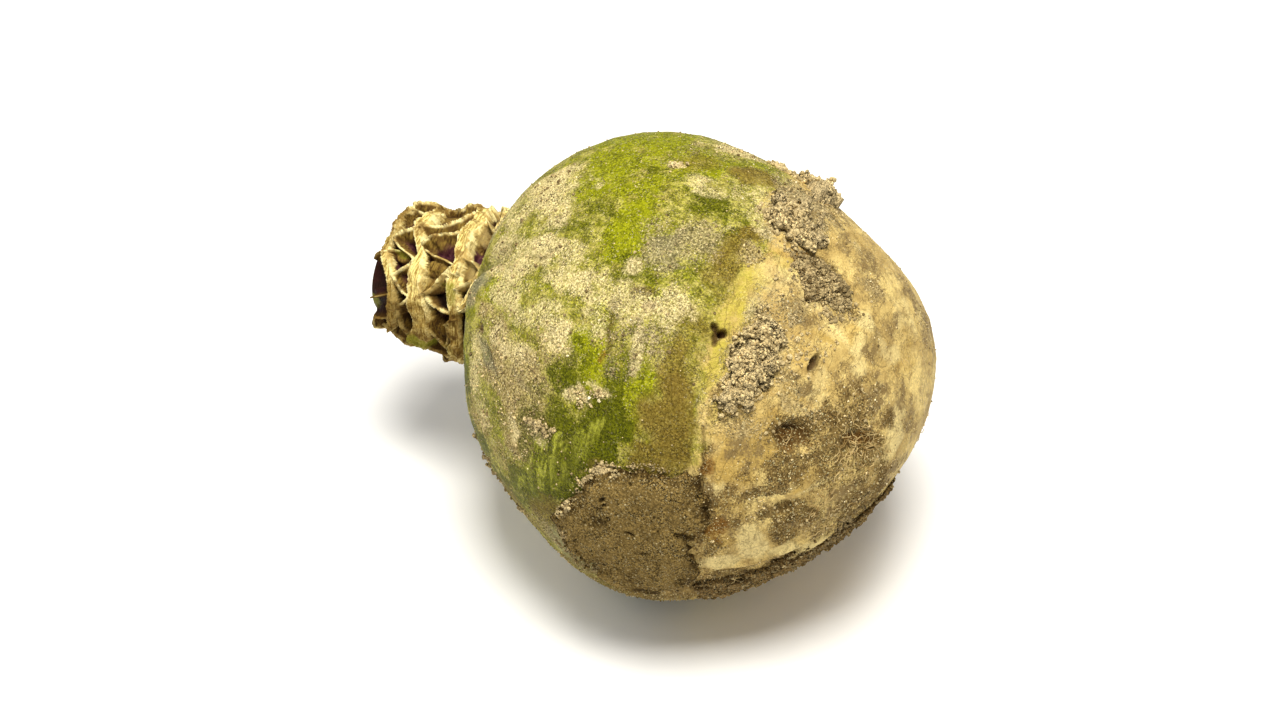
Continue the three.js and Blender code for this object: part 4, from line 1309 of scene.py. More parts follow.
# %% Cells and crown
FLOOR_BROWN = (0.062, 0.025, 0.012)
FLOOR_VIOLET = (0.052, 0.014, 0.018)
DARK_CORK = (0.14, 0.076, 0.017)
LIGHT_CORK = (0.35, 0.23, 0.062)
DEEP_VIOLET = (0.055, 0.014, 0.022)
LIGHT_VIOLET = (0.11, 0.038, 0.038)
CELL_SHADE = (0.014, 0.007, 0.003)
CROWN_DARK = (0.045, 0.022, 0.014)
CROWN_LIGHT = (0.19, 0.12, 0.042)

neck_finish, tree, shader = new_material("leaf_scars")
place = object_place(tree)
flakes = clouds(tree, place, 1.6, 4, 0.7)
brown_clouds = clouds(tree, place, 4.0, 4, 0.65)
browned = stretch(tree, brown_clouds, 0.46, 0.57, 0.0, 0.85)
corky = mixed(tree, stretch(tree, flakes, 0.38, 0.6), DARK_CORK, LIGHT_CORK)
floor_tone = mixed(tree, browned, FLOOR_BROWN, FLOOR_VIOLET)
cell = mixed(tree, frayed_mask(tree, "scar_face", 1.4, 0.3, 0.8), floor_tone, corky)
violet = mixed(tree, stretch(tree, flakes, 0.4, 0.62), DEEP_VIOLET, LIGHT_VIOLET)
cell = mixed(tree, frayed_mask(tree, "maroon", 0.3, 0.2, 0.2), cell, violet)
cell = laid_over(tree, cell, mask(tree, "shade"), 0.95, CELL_SHADE)
crown_tone = mixed(tree, stretch(tree, flakes, 0.40, 0.60), CROWN_DARK, CROWN_LIGHT)
cell = mixed(tree, stretch(tree, mask(tree, "crown"), 0.02, 0.2), cell, crown_tone)
print("Neck cells:", len(tree.nodes), "nodes so far")

# %% [markdown]
# ## The finish of the neck: paper
# Dried leaf bases are papery: pale cream on the rims and strips, with brown fibres that run along them, and
# brown on the slopes that lead down to the cells, darker downwards as painted shade. Loose flakes blur where
# one passes into the other. Spots are darkened grey, most on the front and lower side and round the tip, and
# a little green algae grows near the root.

# %% Strips, slopes and rims
FIBRE_BROWN = (0.35, 0.235, 0.055)
PAPER_CREAM = (0.88, 0.71, 0.26)
LINE_BROWN = (0.30, 0.17, 0.04)
AGED_BROWN = (0.23, 0.13, 0.032)
SLOPE_DARK = (0.068, 0.035, 0.008)
SLOPE_LIGHT = (0.26, 0.168, 0.034)
SLOPE_BROWNED = (0.12, 0.063, 0.016)
SLOPE_AT_FOOT = (0.50, 0.39, 0.15)
RIM_CREAM = (0.92, 0.78, 0.36)
RIM_BROWNED = (0.48, 0.31, 0.08)
GREY_DARKENING = (0.40, 0.33, 0.22)
FOOT_DARK = (0.13, 0.11, 0.03)
FOOT_LIGHT = (0.36, 0.30, 0.13)
ALGAE_GREEN = (0.24, 0.235, 0.02)
NECK_GRIT = (0.07, 0.04, 0.012)

fibres = clouds(tree, object_place(tree, (6.0, 1.0, 1.0)), 2.6, 4, 0.65)
lines = clouds(tree, object_place(tree, (9.0, 1.0, 1.0)), 3.0, 3, 0.6)
paper = mixed(tree, stretch(tree, fibres, 0.42, 0.54), FIBRE_BROWN, PAPER_CREAM)
paper = mixed(tree, stretch(tree, lines, 0.52, 0.60, 0, 0.55), paper, LINE_BROWN)
paper = mixed(tree, stretch(tree, brown_clouds, 0.52, 0.62, 0.0, 0.8), paper, AGED_BROWN)
slope_tone = mixed(tree, stretch(tree, fibres, 0.40, 0.56), SLOPE_DARK, SLOPE_LIGHT)
slope_tone = mixed(tree, browned, slope_tone, SLOPE_BROWNED)
slope_tone = mixed(tree, stretch(tree, mask(tree, "foot"), 0.25, 0.65, 0, 0.6), slope_tone, SLOPE_AT_FOOT)

loose = times(tree, minus(tree, flakes, 0.5), 0.35)
level = plus(tree, mask(tree, "height"), loose)
# the lower the net, the darker: real violet and brown skin, with painted shade in the cells and on the slopes
neck_skin = mixed(tree, stretch(tree, level, 0.28, 0.62), cell, slope_tone)
neck_skin = laid_over(tree, neck_skin, mask(tree, "strip"), stretch(tree, level, 0.35, 0.55), paper)
on_rim = stretch(tree, plus(tree, mask(tree, "rim"), loose), 0.40, 0.75)
patchy_rim = stretch(tree, clouds(tree, place, 2.2, 3, 0.6), 0.38, 0.54, 0.25, 1.0)
on_rim = times(tree, on_rim, patchy_rim)
rim_tone = mixed(tree, browned, RIM_CREAM, RIM_BROWNED)
neck_skin = laid_over(tree, neck_skin, on_rim, stretch(tree, level, 0.3, 0.5), rim_tone)
# darker grey in spots, most on the front and lower side of the neck
darkened = frayed_mask(tree, "darkened", 2.0, 0.4, 1.2)
neck_skin = mixed(tree, darkened, neck_skin, GREY_DARKENING, "MULTIPLY")
foot_tone = mixed(tree, stretch(tree, flakes, 0.42, 0.58), FOOT_DARK, FOOT_LIGHT)
on_foot = plus(tree, mask(tree, "foot"), times(tree, loose, 0.5))
neck_skin = mixed(tree, stretch(tree, on_foot, 0.78, 0.95), neck_skin, foot_tone)
neck_skin = laid_over(tree, neck_skin, frayed_mask(tree, "moss", 0.8, 0.3, 0.8), 0.7, ALGAE_GREEN)
grains = use_group(tree, grit, Amount=0.3)
neck_skin = mixed(tree, 1.0, neck_skin, grains["Tone"], "MULTIPLY")
neck_skin = laid_over(tree, neck_skin, grains["Dark"], 0.5, NECK_GRIT)
dullness = stretch(tree, mask(tree, "height"), 0.1, 0.6, 0.45, 0.85)
surface(tree, shader, neck_skin, roughness=dullness, gloss=0.08)
bump(tree, shader, plus(tree, lines, times(tree, fibres, 0.4)), distance=0.30)
neck.data.materials.append(neck_finish)
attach(neck, "root")
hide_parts("root")
print("Neck material has", len(tree.nodes), "nodes")

# %% [markdown]
# ## Dried soil: one small lump
# Clay soil dries into flat cakes that crumble at the rim, and into heaps of round crumbs. One lump of twenty
# faces stands for every crumb and every grain of sand. It is copied to each place with a turn, a size and a
# squash of its own, so that no two look alike, and thousands of them stay light. A ray from far outside
# towards the middle of the root finds the skin that they lie on.

# %% Lumps, and the way to the skin
skin_tree = BVHTree.FromObject(root, bpy.context.evaluated_depsgraph_get())
bpy.ops.mesh.primitive_ico_sphere_add(subdivisions=1, radius=1, location=(0, 0, 0))
lump = bpy.context.object
lump_points = points_of(lump)
lump_faces = np.array([list(face.vertices) for face in lump.data.polygons])
bpy.data.objects.remove(lump)
REACH = 90 * MM  # past the outermost point of the root, as seen from its middle


def skin_radius(rays, trees=(skin_tree,)):
    """Where the skin, or the outermost of some surfaces, lies along rays from the middle, in mm."""
    radii = np.zeros(len(rays))
    for number, ray in enumerate(rays):
        ray = Vector(ray)
        hits = [tree.ray_cast(MIDDLE + REACH * ray, -ray, REACH)[0] for tree in trees]
        radii[number] = max([0] + [(hit - MIDDLE).length / MM for hit in hits if hit is not None])
    return radii


def upper_faces(piece, least):
    """Centres of a piece's faces, their rays from the middle, and the chance of a crumb on each.

    The chance goes by area, and a face that looks outwards by less than the least has none.
    """
    centres = np.array([face.center for face in piece.data.polygons])
    normals = np.array([face.normal for face in piece.data.polygons])
    areas = np.array([face.area for face in piece.data.polygons])
    rays = outward_rays(centres)
    chance = areas * ((normals * rays).sum(axis=1) > least)
    return centres, rays, chance / chance.sum()


def new_object(name, data):
    """A new object in the scene for a mesh or a curve."""
    piece = bpy.data.objects.new(name, data)
    bpy.context.collection.objects.link(piece)
    return piece


def strewn_lumps(name, places, sizes, draw):
    """One mesh with a small lump at each place, each turned and squashed at random. Sizes are radii in mm."""
    count = len(places)
    corners = len(lump_points)
    turns = np.linalg.qr(draw.normal(size=(count, 3, 3)))[0]
    turns *= np.sign(np.linalg.det(turns))[:, None, None]
    squash = draw.uniform(0.6, 1.3, (count, 1, 3)) * sizes[:, None, None] * MM
    lumps = lump_points[None] * squash * draw.uniform(0.7, 1.3, (count, corners, 1))
    lumps = lumps @ turns + places[:, None]
    faces = lump_faces[None] + corners * np.arange(count)[:, None, None]
    mesh = bpy.data.meshes.new(name)
    mesh.from_pydata(lumps.reshape(-1, 3).tolist(), [], faces.reshape(-1, 3).tolist())
    return new_object(name, mesh)


def keep_inside(piece):
    """Pulls points that stick out of the measured box back into it."""
    low, high = (np.array(corner) for corner in cad_box)
    move_points(piece, np.clip(points_of(piece), low + 0.01 * MM, high - 0.01 * MM))


print("A lump has", len(lump_points), "points and", len(lump_faces), "faces")

# %% [markdown]
# ## Dried soil: how a patch is made
# Each patch starts as a copy of the measured patch. Crumbs are strewn over it and just past its rim, and a
# voxel remesh melts patch and crumbs into one skin. Bits that stay loose and are too small for a clod are
# deleted. Noise roughens the rest, and all that is no part of a heap sinks under the root's skin, so that
# the rim is ragged and no light gets in under it.

# %% Crumbs on a copy of the measured patch
CRUMB_SLIDE = 0.9  # mm, how far a crumb lies from the face that it was drawn for


def measured_copy(node_name):
    """A copy of a measured patch, with its loose triangles merged into one skin."""
    patch = new_object(node_name + "_crumbs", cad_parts[node_name].data.copy())
    merge_close(patch, 0.01)
    return patch


def places_on(patch, draw, crumbs, strays, crumb_size, spread):
    """Places for crumbs on the upper side of a patch, and after them for strays on the skin near it."""
    count = crumbs + strays
    centres, rays, chance = upper_faces(patch, 0.2)
    picked = draw.choice(len(centres), count, p=chance)
    slide = draw.normal(size=(count, 3)) * CRUMB_SLIDE * MM
    slide -= rays[picked] * (slide * rays[picked]).sum(axis=1, keepdims=True)
    lift = crumb_size * draw.uniform(-0.6, 0.7, (count, 1)) * MM
    places = centres[picked] + slide + rays[picked] * lift
    stray_rays = places[crumbs:] - np.array(MIDDLE)
    reach = np.linalg.norm(stray_rays, axis=1, keepdims=True)
    stray_rays += draw.normal(size=stray_rays.shape) * math.radians(spread) * reach
    stray_rays /= np.linalg.norm(stray_rays, axis=1, keepdims=True)
    places[crumbs:] = np.array(MIDDLE) + stray_rays * (skin_radius(stray_rays)[:, None] + 0.1) * MM
    return places


print("Crumbs slide by about", CRUMB_SLIDE, "mm")

# %% Loose bits, and how a patch settles
SMALLEST_CLOD = 150  # points


def drop_bits(piece):
    """Deletes the loose bits of a mesh that are smaller than a clod."""
    mesh = piece.data
    edges = np.empty(len(mesh.edges) * 2, int)
    mesh.edges.foreach_get("vertices", edges)
    edges = edges.reshape(-1, 2)
    bit = np.arange(len(mesh.vertices))
    changed = True
    while changed:  # every point takes the lowest number among its neighbours, until a bit has one number
        lowest = bit.copy()
        np.minimum.at(lowest, edges[:, 0], bit[edges[:, 1]])
        np.minimum.at(lowest, edges[:, 1], bit[edges[:, 0]])
        changed = (lowest != bit).any()
        bit = lowest[lowest]
    only(piece)
    bpy.ops.object.mode_set(mode="EDIT")
    bpy.ops.mesh.select_mode(type="VERT")
    bpy.ops.mesh.select_all(action="DESELECT")
    bpy.ops.object.mode_set(mode="OBJECT")
    mesh.vertices.foreach_set("select", np.bincount(bit)[bit] < SMALLEST_CLOD)
    bpy.ops.object.mode_set(mode="EDIT")
    bpy.ops.mesh.delete(type="VERT")
    bpy.ops.object.mode_set(mode="OBJECT")


def settle(patch, heaps, keep, waves, pits, seed):
    """Roughens a patch, and sinks into the root all of it that is no part of a heap."""
    points = points_of(patch)
    rays = points - np.array(MIDDLE)
    distance = np.linalg.norm(rays, axis=1)
    rays /= distance[:, None]
    height = distance / MM - skin_radius(rays)
    relief = sum(rise * noise_at(points, size, 3, shift=seed * 3.0 + size) for rise, size in waves)
    bend = np.stack([2.5 * noise_at(points, 5, 2, shift=seed + shift) for shift in (40.0, 50.0)])
    relief -= cover(*skin_angles(points), pits, bend)
    heap = cover(*skin_angles(points), [(*heap, 1) for heap in heaps], bend * 2)
    heap = smooth_step(heap + 0.45 * noise_at(points, 2.4, 3, shift=seed + 60.0), 0.30, 0.62)
    sink = 1.2 * (1 - smooth_step(height, -0.2, 0.7)) + (1 - heap) * np.clip(height + 0.8, 0, None)
    sink += heap * (1 - keep) * np.clip(height, 0, None)
    move_points(patch, points + rays * (relief - sink)[:, None] * MM)
    keep_inside(patch)
    store(patch, "high", smooth_step(height + relief, 0.2, 2.6))
    # painted shade where the relief dips
    store(patch, "pitted", smooth_step(-relief, 0.15, 0.6))


print("A patch keeps bits of", SMALLEST_CLOD, "points or more")

# %% A patch of soil
def soil_patch(node_name, heaps, keep, crumbs, crumb_size, strays, spread, voxel, waves, seed, pits=()):
    """A patch of soil with crumbs on it, that stands up where its heaps are.

    It keeps a share of its measured height. Sizes are in mm, the spread of stray crumbs in degrees, and the
    waves are (height, size) pairs.
    """
    draw = np.random.default_rng(seed)
    patch = measured_copy(node_name)
    places = places_on(patch, draw, crumbs, strays, crumb_size, spread)
    sizes = crumb_size * draw.lognormal(0, 0.5, crumbs + strays)
    sizes[crumbs:] *= 0.8
    lumps = strewn_lumps("lumps", places, np.clip(sizes, 0.7 * voxel, 2.6 * crumb_size), draw)
    only(patch)
    lumps.select_set(True)
    bpy.ops.object.join()
    patch.data.remesh_voxel_size = voxel * MM
    bpy.ops.object.voxel_remesh()
    drop_bits(patch)
    settle(patch, heaps, keep, waves, pits, seed)
    bpy.ops.object.shade_smooth()
    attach(patch, "root")
    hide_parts(node_name)
    print(patch.name, len(patch.data.polygons), "faces")
    return patch


print("The measured cake has", len(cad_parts["soil_cake_front"].data.polygons), "faces")

# %% [markdown]
# ## Dried soil: the five patches
# The cake in front is flat and fine, and keeps nearly all of its measured height. The clods are coarser and
# stand up in heaps. The soil underneath lies in a long band with a few pits. Only numbers tell the patches
# apart, so one function makes all five.

# %% Five patches
# heaps: away, around, half sizes in degrees; pits: the same, a depth in mm, a turn if it has one
CAKE_HEAPS = [(96, 92, 17, 20), (109, 79, 10, 10), (103, 106, 13, 14), (104, 92, 10, 12)]
CAKE_PITS = [
    (94, 83, 0.5, 1, 0.9, 30), (94.6, 84.4, 0.8, 0.3, 0.9, -40), (93.4, 86, 1.2, 0.3, 0.6, -30),
    (95.6, 88.4, 0.5, 0.4, 0.6), (97, 106, 0.9, 0.35, 0.7, 10), (104.5, 98, 1.2, 0.3, 0.6, -15),
    (101, 91.5, 1.4, 0.3, 0.6, 30),
]
TOP_HEAPS = [
    (96, -32, 5, 5), (104, -34, 5, 5), (111, -29, 4, 5), (105, -2, 7, 6), (111, -4, 8, 7), (117, 0, 5, 4.5),
]
SIDE_HEAPS = [(127, 5, 7, 5.5), (121, 4, 4, 5)]
MIDDLE_HEAPS = [(119.5, 38, 5.5, 14), (122, 24, 5, 7)]
UNDER_HEAPS = [(112, 124, 16, 10), (130, 127, 16, 11), (152, 119, 20, 12)]
UNDER_PITS = [
    (116, 117, 1.8, 1.2, 1.6), (125, 118, 1.6, 1.2, 1.8), (120, 124, 2, 1, 1.2, 20), (134, 122, 2, 1, 1.3),
]

cake = soil_patch(
    "soil_cake_front", CAKE_HEAPS, keep=0.9, crumbs=600, crumb_size=0.26, strays=260, spread=1.0, voxel=0.38,
    waves=[(0.30, 8), (0.14, 1.2)], seed=3, pits=CAKE_PITS,
)
top_clods = soil_patch(
    "soil_clods_top", TOP_HEAPS, keep=0.95, crumbs=900, crumb_size=0.42, strays=300, spread=1.6, voxel=0.36,
    waves=[(0.9, 3.0), (0.45, 1.0)], seed=5,
)
side_clods = soil_patch(
    "soil_clods_side", SIDE_HEAPS, keep=0.5, crumbs=420, crumb_size=0.34, strays=300, spread=2.6, voxel=0.32,
    waves=[(0.7, 2.2), (0.4, 0.9)], seed=8,
)
middle_clods = soil_patch(
    "soil_clods_middle", MIDDLE_HEAPS, keep=0.75, crumbs=520, crumb_size=0.36, strays=340, spread=2.6,
    voxel=0.32, waves=[(1.3, 3.6), (0.45, 1.0)], seed=9,
)
under_soil = soil_patch(
    "soil_underside", UNDER_HEAPS, keep=0.6, crumbs=700, crumb_size=0.36, strays=420, spread=2.0, voxel=0.40,
    waves=[(0.5, 5), (0.2, 1.5)], seed=12, pits=UNDER_PITS,
)

# %% [markdown]
# ## Dried soil: loose crumbs
# What makes soil look crumbly is the loose crumbs that still cling to it. They are heaped along rows where
# the soil breaks off (the rim of the cake, the clods near the top, a few small clumps elsewhere) and strewn
# over the patches. A particle system could strew them; here they are one mesh of small lumps.
# Each lump sits partly in what is under it.

# %% Rows of crumbs
CRUMB_ROWS = [  # corners (away, around), spread in degrees, how many, size in mm, how pale (0 to 1)
    ([(94, -31), (101, -34), (108, -33), (113, -28)], 1.2, 620, 0.34, 0.85),
    ([(104, -2), (109, -3), (113, -5), (117, 1)], 2.2, 620, 0.27, 0.8),
    ([(117.5, 4.5), (121, 2), (125, 1), (130, 1), (134, 3)], 0.9, 420, 0.26, 0.35),
    ([(120, 8), (127, 7), (133, 8)], 2.8, 520, 0.24, 0.6),
    ([(119, 27), (116.5, 33), (117, 38), (118, 45), (117, 50)], 2, 680, 0.26, 0.9),
    ([(125, 25), (122.5, 32), (121, 40), (121, 47)], 2.4, 620, 0.25, 0.9),
    ([(68.4, 72.8), (72, 73), (75.3, 72), (78.5, 71.7)], 0.7, 180, 0.27, 0.6),
    ([(81, 96), (85, 89), (87, 83), (89, 79), (91.4, 75.2), (94.1, 74), (96, 75.8)], 0.45, 380, 0.18, 0.7),
    ([(99.3, 75.2), (99.8, 72.8), (105.2, 71.5), (109, 71.7)], 0.35, 140, 0.15, 0.5),
    ([(78.5, -7.3), (80.5, -6.8)], 0.6, 60, 0.28, 0.95),
    ([(82, 61), (85.5, 58.5), (89.5, 57.5)], 0.7, 160, 0.17, 1),
    ([(140, 126), (150, 118), (158, 104), (161, 84)], 1.6, 300, 0.24, 0.35),
    ([(124, 15), (131, 22), (128, 34)], 5, 360, 0.18, 0.75),
    ([(46, 105), (58, 112), (70, 118)], 3, 160, 0.26, 0.5),
    ([(80, 100), (86, 112), (95, 120)], 1.2, 160, 0.24, 0.5),
    ([(96, -60), (104, -70), (110, -84)], 3.6, 340, 0.30, 0.75),
    ([(122, -120), (130, -132)], 4, 260, 0.28, 0.6),
    ([(80, -140), (86, -150)], 3, 180, 0.26, 0.7),
]
PATCH_CRUMBS = [  # patch, how many, size in mm, how pale
    (cake, 200, 0.12, 0.6), (top_clods, 420, 0.24, 0.85), (side_clods, 300, 0.22, 0.5),
    (middle_clods, 420, 0.22, 0.85), (under_soil, 420, 0.24, 0.4),
]


def row_places(draw, corners, spread, count):
    """Rays from the middle of the root to small clusters along a row of (away, around) corners."""
    rays = []
    while len(rays) < count:
        leg = draw.integers(len(corners) - 1)
        share = draw.random()
        start, end = corners[leg], corners[leg + 1]
        at_away = start[0] + share * (end[0] - start[0]) + draw.normal() * spread
        at_around = start[1] + share * (end[1] - start[1])
        at_around += draw.normal() * spread / math.sin(math.radians(at_away))
        reach = draw.uniform(0.2, 0.8)
        for member in range(draw.integers(2, 14)):
            rays.append(skin_direction(at_away + reach * draw.normal(), at_around + reach * draw.normal()))
    return np.array(rays[:count])


print("Rows of crumbs:", len(CRUMB_ROWS))

# %% Clinging crumbs
draw = np.random.default_rng(17)
patch_trees = [BVHTree.FromObject(row[0], bpy.context.evaluated_depsgraph_get()) for row in PATCH_CRUMBS]
crumb_places, crumb_sizes, crumb_tones = [], [], []
for corners, spread, count, size, paleness in CRUMB_ROWS:
    rays = row_places(draw, corners, spread, count)
    sizes = size * np.clip(draw.lognormal(0, 0.6, count), 0.3, 2.6)
    radii = skin_radius(rays, [skin_tree] + patch_trees) + sizes * draw.uniform(-0.2, 0.8, count)
    crumb_places.append(np.array(MIDDLE) + rays * radii[:, None] * MM)
    crumb_sizes.append(sizes)
    crumb_tones.append(paleness * draw.uniform(0.4, 1.0, count))
for patch, count, size, paleness in PATCH_CRUMBS:
    centres, _, chance = upper_faces(patch, 0.3)
    crumb_places.append(centres[draw.choice(len(centres), count, p=chance)])
    crumb_sizes.append(size * np.clip(draw.lognormal(0, 0.5, count), 0.35, 2.4))
    crumb_tones.append(paleness * draw.uniform(0.5, 1.0, count))
clinging = strewn_lumps("clinging_crumbs", np.concatenate(crumb_places), np.concatenate(crumb_sizes), draw)
store(clinging, "tone", np.repeat(np.concatenate(crumb_tones), len(lump_points)))
keep_inside(clinging)
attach(clinging, "root")
print("Clinging crumbs:", len(clinging.data.polygons), "faces")

# %% [markdown]
# ## Dried soil: finish
# Crumbs in the sun have dried pale, and the cake in front and the soil underneath are browner. All share one
# recipe with other tones: painted shade in the hollows, paler on top, grit over everything. The rim of the
# cake is palest, partly dried soil and partly a painted highlight, which a mask of its own shows.

# %% Materials of the soil
SOIL_TONES = {  # in the hollows, in between, and dried on top
    "soil_cake": ((0.048, 0.028, 0.007), (0.147, 0.091, 0.025), (0.26, 0.174, 0.054)),
    "soil_clods": ((0.19, 0.14, 0.062), (0.38, 0.285, 0.13), (0.60, 0.47, 0.245)),
    "soil_brown_clods": ((0.12, 0.078, 0.028), (0.29, 0.20, 0.085), (0.52, 0.39, 0.19)),
    "soil_underneath": ((0.066, 0.038, 0.011), (0.156, 0.097, 0.031), (0.24, 0.155, 0.055)),
}
PALE_RIM = (0.55, 0.42, 0.21)
PIT_BROWN = (0.045, 0.027, 0.009)
PALE_GRAIN = (0.80, 0.65, 0.34)
BLACK_GRAIN = (0.03, 0.019, 0.007)
# the cake's upper-left rim: paler dry soil with a painted highlight on it
CAKE_PALE_RIM = [  # away, around, half sizes in degrees, strength, turn if it has one
    (92.5, 75.6, 3, 1, 0.9, -30), (88.3, 80, 3.5, 0.9, 0.8, -55), (84, 88, 0.9, 5, 0.7),
    (99, 72, 4, 0.8, 0.5),
]


def soil_finish(name, pieces):
    """A material for soil from its three tones, given to the pieces."""
    shade, body, dry = SOIL_TONES[name]
    finish, tree, shader = new_material(name)
    place = object_place(tree)
    patches = clouds(tree, place, 4.5, 3, 0.6)
    fine = clouds(tree, place, 0.8, 3, 0.75)
    tone = mixed(tree, stretch(tree, plus(tree, patches, fine), 0.92, 1.08), shade, body)
    uneven = minus(tree, plus(tree, times(tree, fine, 1.3), patches), 1.15)
    dryness = plus(tree, mask(tree, "high"), uneven)
    tone = mixed(tree, stretch(tree, dryness, 0.35, 1.05), tone, dry)
    # the cake's rim: paler soil and a painted highlight
    tone = mixed(tree, frayed_mask(tree, "pale_rim", 0.5, 0.3, 0.8), tone, PALE_RIM)
    # painted shade in the hollows
    tone = laid_over(tree, tone, mask(tree, "pitted"), 0.75, PIT_BROWN)
    grains = use_group(tree, grit, Amount=1.4)
    tone = mixed(tree, 1.0, tone, grains["Tone"], "MULTIPLY")
    tone = laid_over(tree, tone, grains["Light"], 0.85, PALE_GRAIN)
    tone = laid_over(tree, tone, grains["Dark"], 0.75, BLACK_GRAIN)
    surface(tree, shader, tone, roughness=0.95, gloss=0.05)
    bump(tree, shader, plus(tree, grains["Height"], fine), distance=0.55)
    for piece in pieces:
        piece.data.materials.clear()
        piece.data.materials.append(finish)


for piece in (cake, top_clods, side_clods, middle_clods, under_soil):
    away, around = skin_angles(points_of(piece))
    spots = CAKE_PALE_RIM if piece is cake else []
    store(piece, "pale_rim", cover(away, around, spots))
soil_finish("soil_cake", [cake])
soil_finish("soil_clods", [top_clods, middle_clods])
soil_finish("soil_brown_clods", [side_clods])
soil_finish("soil_underneath", [under_soil])
print("Soil materials:", list(SOIL_TONES))

# %% [markdown]
# ## Loose grains
# Sand and small crumbs lie all over a root that comes straight from the field, most of them where dust and
# soil lie. The same small lump stands for every grain. The masks of the skin tell where grains are likely,
# and a seeded draw picks the places.

# %% Strewn grains
def strew(name, count, small, large, likely, palest, seed):
    """Grains on the root's skin, with radii in mm, at places drawn by how likely a grain is there.

    Their tones run from 0 (dark) to the palest (at most 1).
    """
    draw = np.random.default_rng(seed)
    mesh = root.data
    corner_lists = np.array([list(face.vertices)[:3] for face in mesh.polygons])
    areas = np.array([face.area for face in mesh.polygons])
    weight = areas * likely[corner_lists].mean(axis=1)
    picked = corner_lists[draw.choice(len(areas), count, p=weight / weight.sum())]
    shares = draw.dirichlet((1, 1, 1), count)
    places = (points_of(root)[picked] * shares[:, :, None]).sum(axis=1)
    sizes = small + (large - small) * draw.random(count) ** 3
    lift = outward_rays(places) * sizes[:, None] * 0.3 * MM
    grains = strewn_lumps(name, places + lift, sizes, draw)
    store(grains, "tone", palest * np.repeat(draw.random(count), len(lump_points)))
    keep_inside(grains)
    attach(grains, "root")
    print(name, len(grains.data.polygons), "faces")
    return grains


skin_points = points_of(root)
skin_away, skin_around = skin_angles(skin_points)
open_skin = smooth_step(skin_away, NECK_FOOT_AWAY + 4, NECK_FOOT_AWAY + 8)  # clear of the neck
open_skin = open_skin * smooth_step(skin_points[:, 2], 2 * MM, 8 * MM)  # and of the ground
dirty = np.clip(sum(covers[name] for name in ("dust", "clay", "ash", "stain")) + 0.6 * covers["mottle"], 0, 1)
green_side = green_skin(skin_away, skin_around)
likely = open_skin * (0.04 + 0.10 * green_side + 0.9 * dirty) * (1 - np.clip(hollow, 0, 1))
sand = strew("sand_grains", 8200, 0.12, 0.27, likely, palest=1.0, seed=21)
crumbs = strew("soil_crumbs", 2400, 0.18, 0.5, open_skin * (0.01 + dirty ** 2), palest=0.8, seed=22)

# %% [markdown]
# ## The finish of the grains
# A grain is brown, tan or, now and then, nearly white. Its tone is a number stored on its points, so one
# material paints them all, the crumbs that cling to the soil as well.

# %% Material of the grains
BROWN_GRAIN = (0.16, 0.11, 0.042)
TAN_GRAIN = (0.58, 0.455, 0.225)
WHITE_GRAIN = (0.84, 0.74, 0.47)
GRAIN_SHADE = (0.06, 0.038, 0.012)

grain_finish, tree, shader = new_material("loose_grains")
tone = mixed(tree, stretch(tree, mask(tree, "tone"), 0.0, 0.8), BROWN_GRAIN, TAN_GRAIN)
tone = mixed(tree, stretch(tree, mask(tree, "tone"), 0.88, 0.98), tone, WHITE_GRAIN)
grains = use_group(tree, grit, Amount=1.3)
tone = mixed(tree, 1.0, tone, grains["Tone"], "MULTIPLY")
tone = laid_over(tree, tone, grains["Dark"], 0.7, GRAIN_SHADE)
surface(tree, shader, tone, roughness=0.8, gloss=0.2)
for piece in (sand, crumbs, clinging):
    piece.data.materials.append(grain_finish)
print("Grain material has", len(tree.nodes), "nodes")

# %% [markdown]
# ## Fine roots
# A rutabaga keeps a mat of hair-thin roots in the pits near its root end, and single ones elsewhere. Each
# starts at a place on the skin and wanders over it, turning a little at every step. All of them are splines
# of one curve with a round bevel, which is then turned into a mesh.

# %% Hair-thin roots
ROOT_MATS = [  # away, around, spread in degrees, how many, length and radius in mm
    (153, 50, 4.5, 30, 9, 0.12), (158, 60, 4, 12, 12, 0.11), (137, 57, 3.5, 14, 5, 0.10),
    (147, 82, 5, 12, 8, 0.10), (152, -132, 6, 40, 9, 0.13), (112, 102, 3, 3, 14, 0.12),
    (126, 116, 8, 14, 9, 0.12), (115, -20, 5, 4, 7, 0.10), (150, 100, 6, 8, 8, 0.11),
    (160, 0, 15, 6, 6, 0.09), (120, 170, 20, 12, 8, 0.11),
]
CROWDING = 0.6  # most roots start within this share of their mat's spread
STEP_LENGTH = 0.8  # mm
LEAST_STEPS = 4
WANDERING = 0.55  # how strongly a root turns at each step


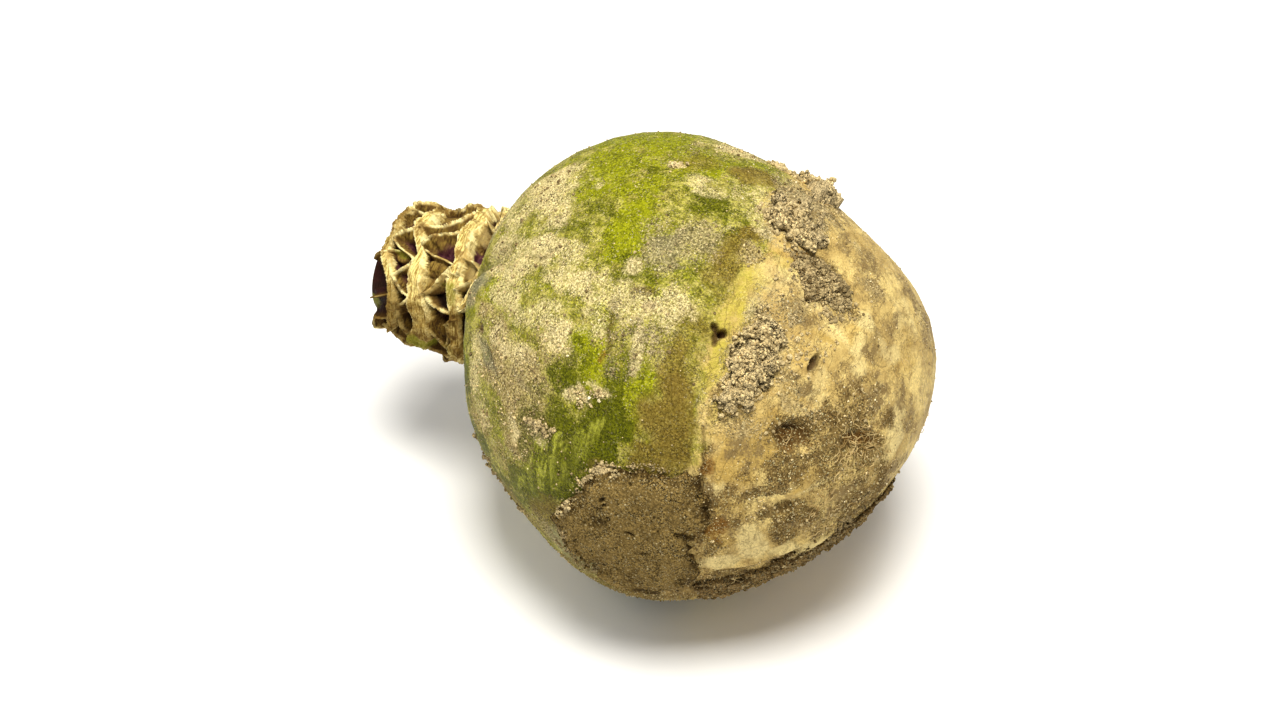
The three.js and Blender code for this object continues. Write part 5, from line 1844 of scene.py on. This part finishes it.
def wandering_root(draw, away, around, length):
    """Points of a root that wanders over the skin from a place, in metres."""
    ray = Vector(skin_direction(away, around))
    heading = ray.cross(Vector((draw.normal(), draw.normal(), draw.normal()))).normalized()
    steps = max(LEAST_STEPS, int(length / STEP_LENGTH))
    path = []
    for step in range(steps):
        radius = skin_radius([ray])[0]
        lift = 0.15 + 1.1 * math.sin(math.pi * step / steps) * draw.random()
        path.append(MIDDLE + ray * (radius + lift if step else radius - 0.6) * MM)
        heading = (heading + WANDERING * Vector(draw.normal(size=3))).normalized()
        ray = (ray + heading * (length / steps / ROOT_RADIUS)).normalized()
        heading = (heading - ray * heading.dot(ray)).normalized()
    return path


draw = np.random.default_rng(31)
hairs = bpy.data.curves.new("fine_roots", "CURVE")
hairs.dimensions = "3D"
hairs.bevel_depth = 1.0 * MM  # so that the radius of a point counts in mm
hairs.bevel_resolution = 1
hairs.use_fill_caps = True
for at_away, at_around, spread, count, length, thickness in ROOT_MATS:
    for hair in range(count):
        start_away = at_away + draw.normal() * spread * CROWDING
        start_around = at_around + draw.normal() * spread * CROWDING / math.sin(math.radians(at_away))
        path = wandering_root(draw, start_away, start_around, length * draw.uniform(0.4, 1.3))
        spline = hairs.splines.new("POLY")
        spline.points.add(len(path) - 1)
        for number, (point, place) in enumerate(zip(spline.points, path)):
            point.co = (*place, 1)
            point.radius = thickness * (1 - 0.7 * number / len(path))
fine_roots = new_object("fine_roots", hairs)
only(fine_roots)
bpy.ops.object.convert(target="MESH")
fine_roots = bpy.context.object
merge_close(fine_roots, 0.001)  # joins the caps to the tubes
bpy.ops.object.shade_smooth()
keep_inside(fine_roots)
print("Fine roots:", len(fine_roots.data.polygons), "faces")

# %% Material of the fine roots
BROWN_HAIR = (0.30, 0.19, 0.06)
STRAW_HAIR = (0.62, 0.46, 0.20)

hair_finish, tree, shader = new_material("fine_roots")
hair_tone = stretch(tree, clouds(tree, object_place(tree), 3.0, 2, 0.6), 0.4, 0.6)
surface(tree, shader, mixed(tree, hair_tone, BROWN_HAIR, STRAW_HAIR), roughness=0.75, gloss=0.2)
fine_roots.data.materials.append(hair_finish)
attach(fine_roots, "root")
print("Hair material has", len(tree.nodes), "nodes")
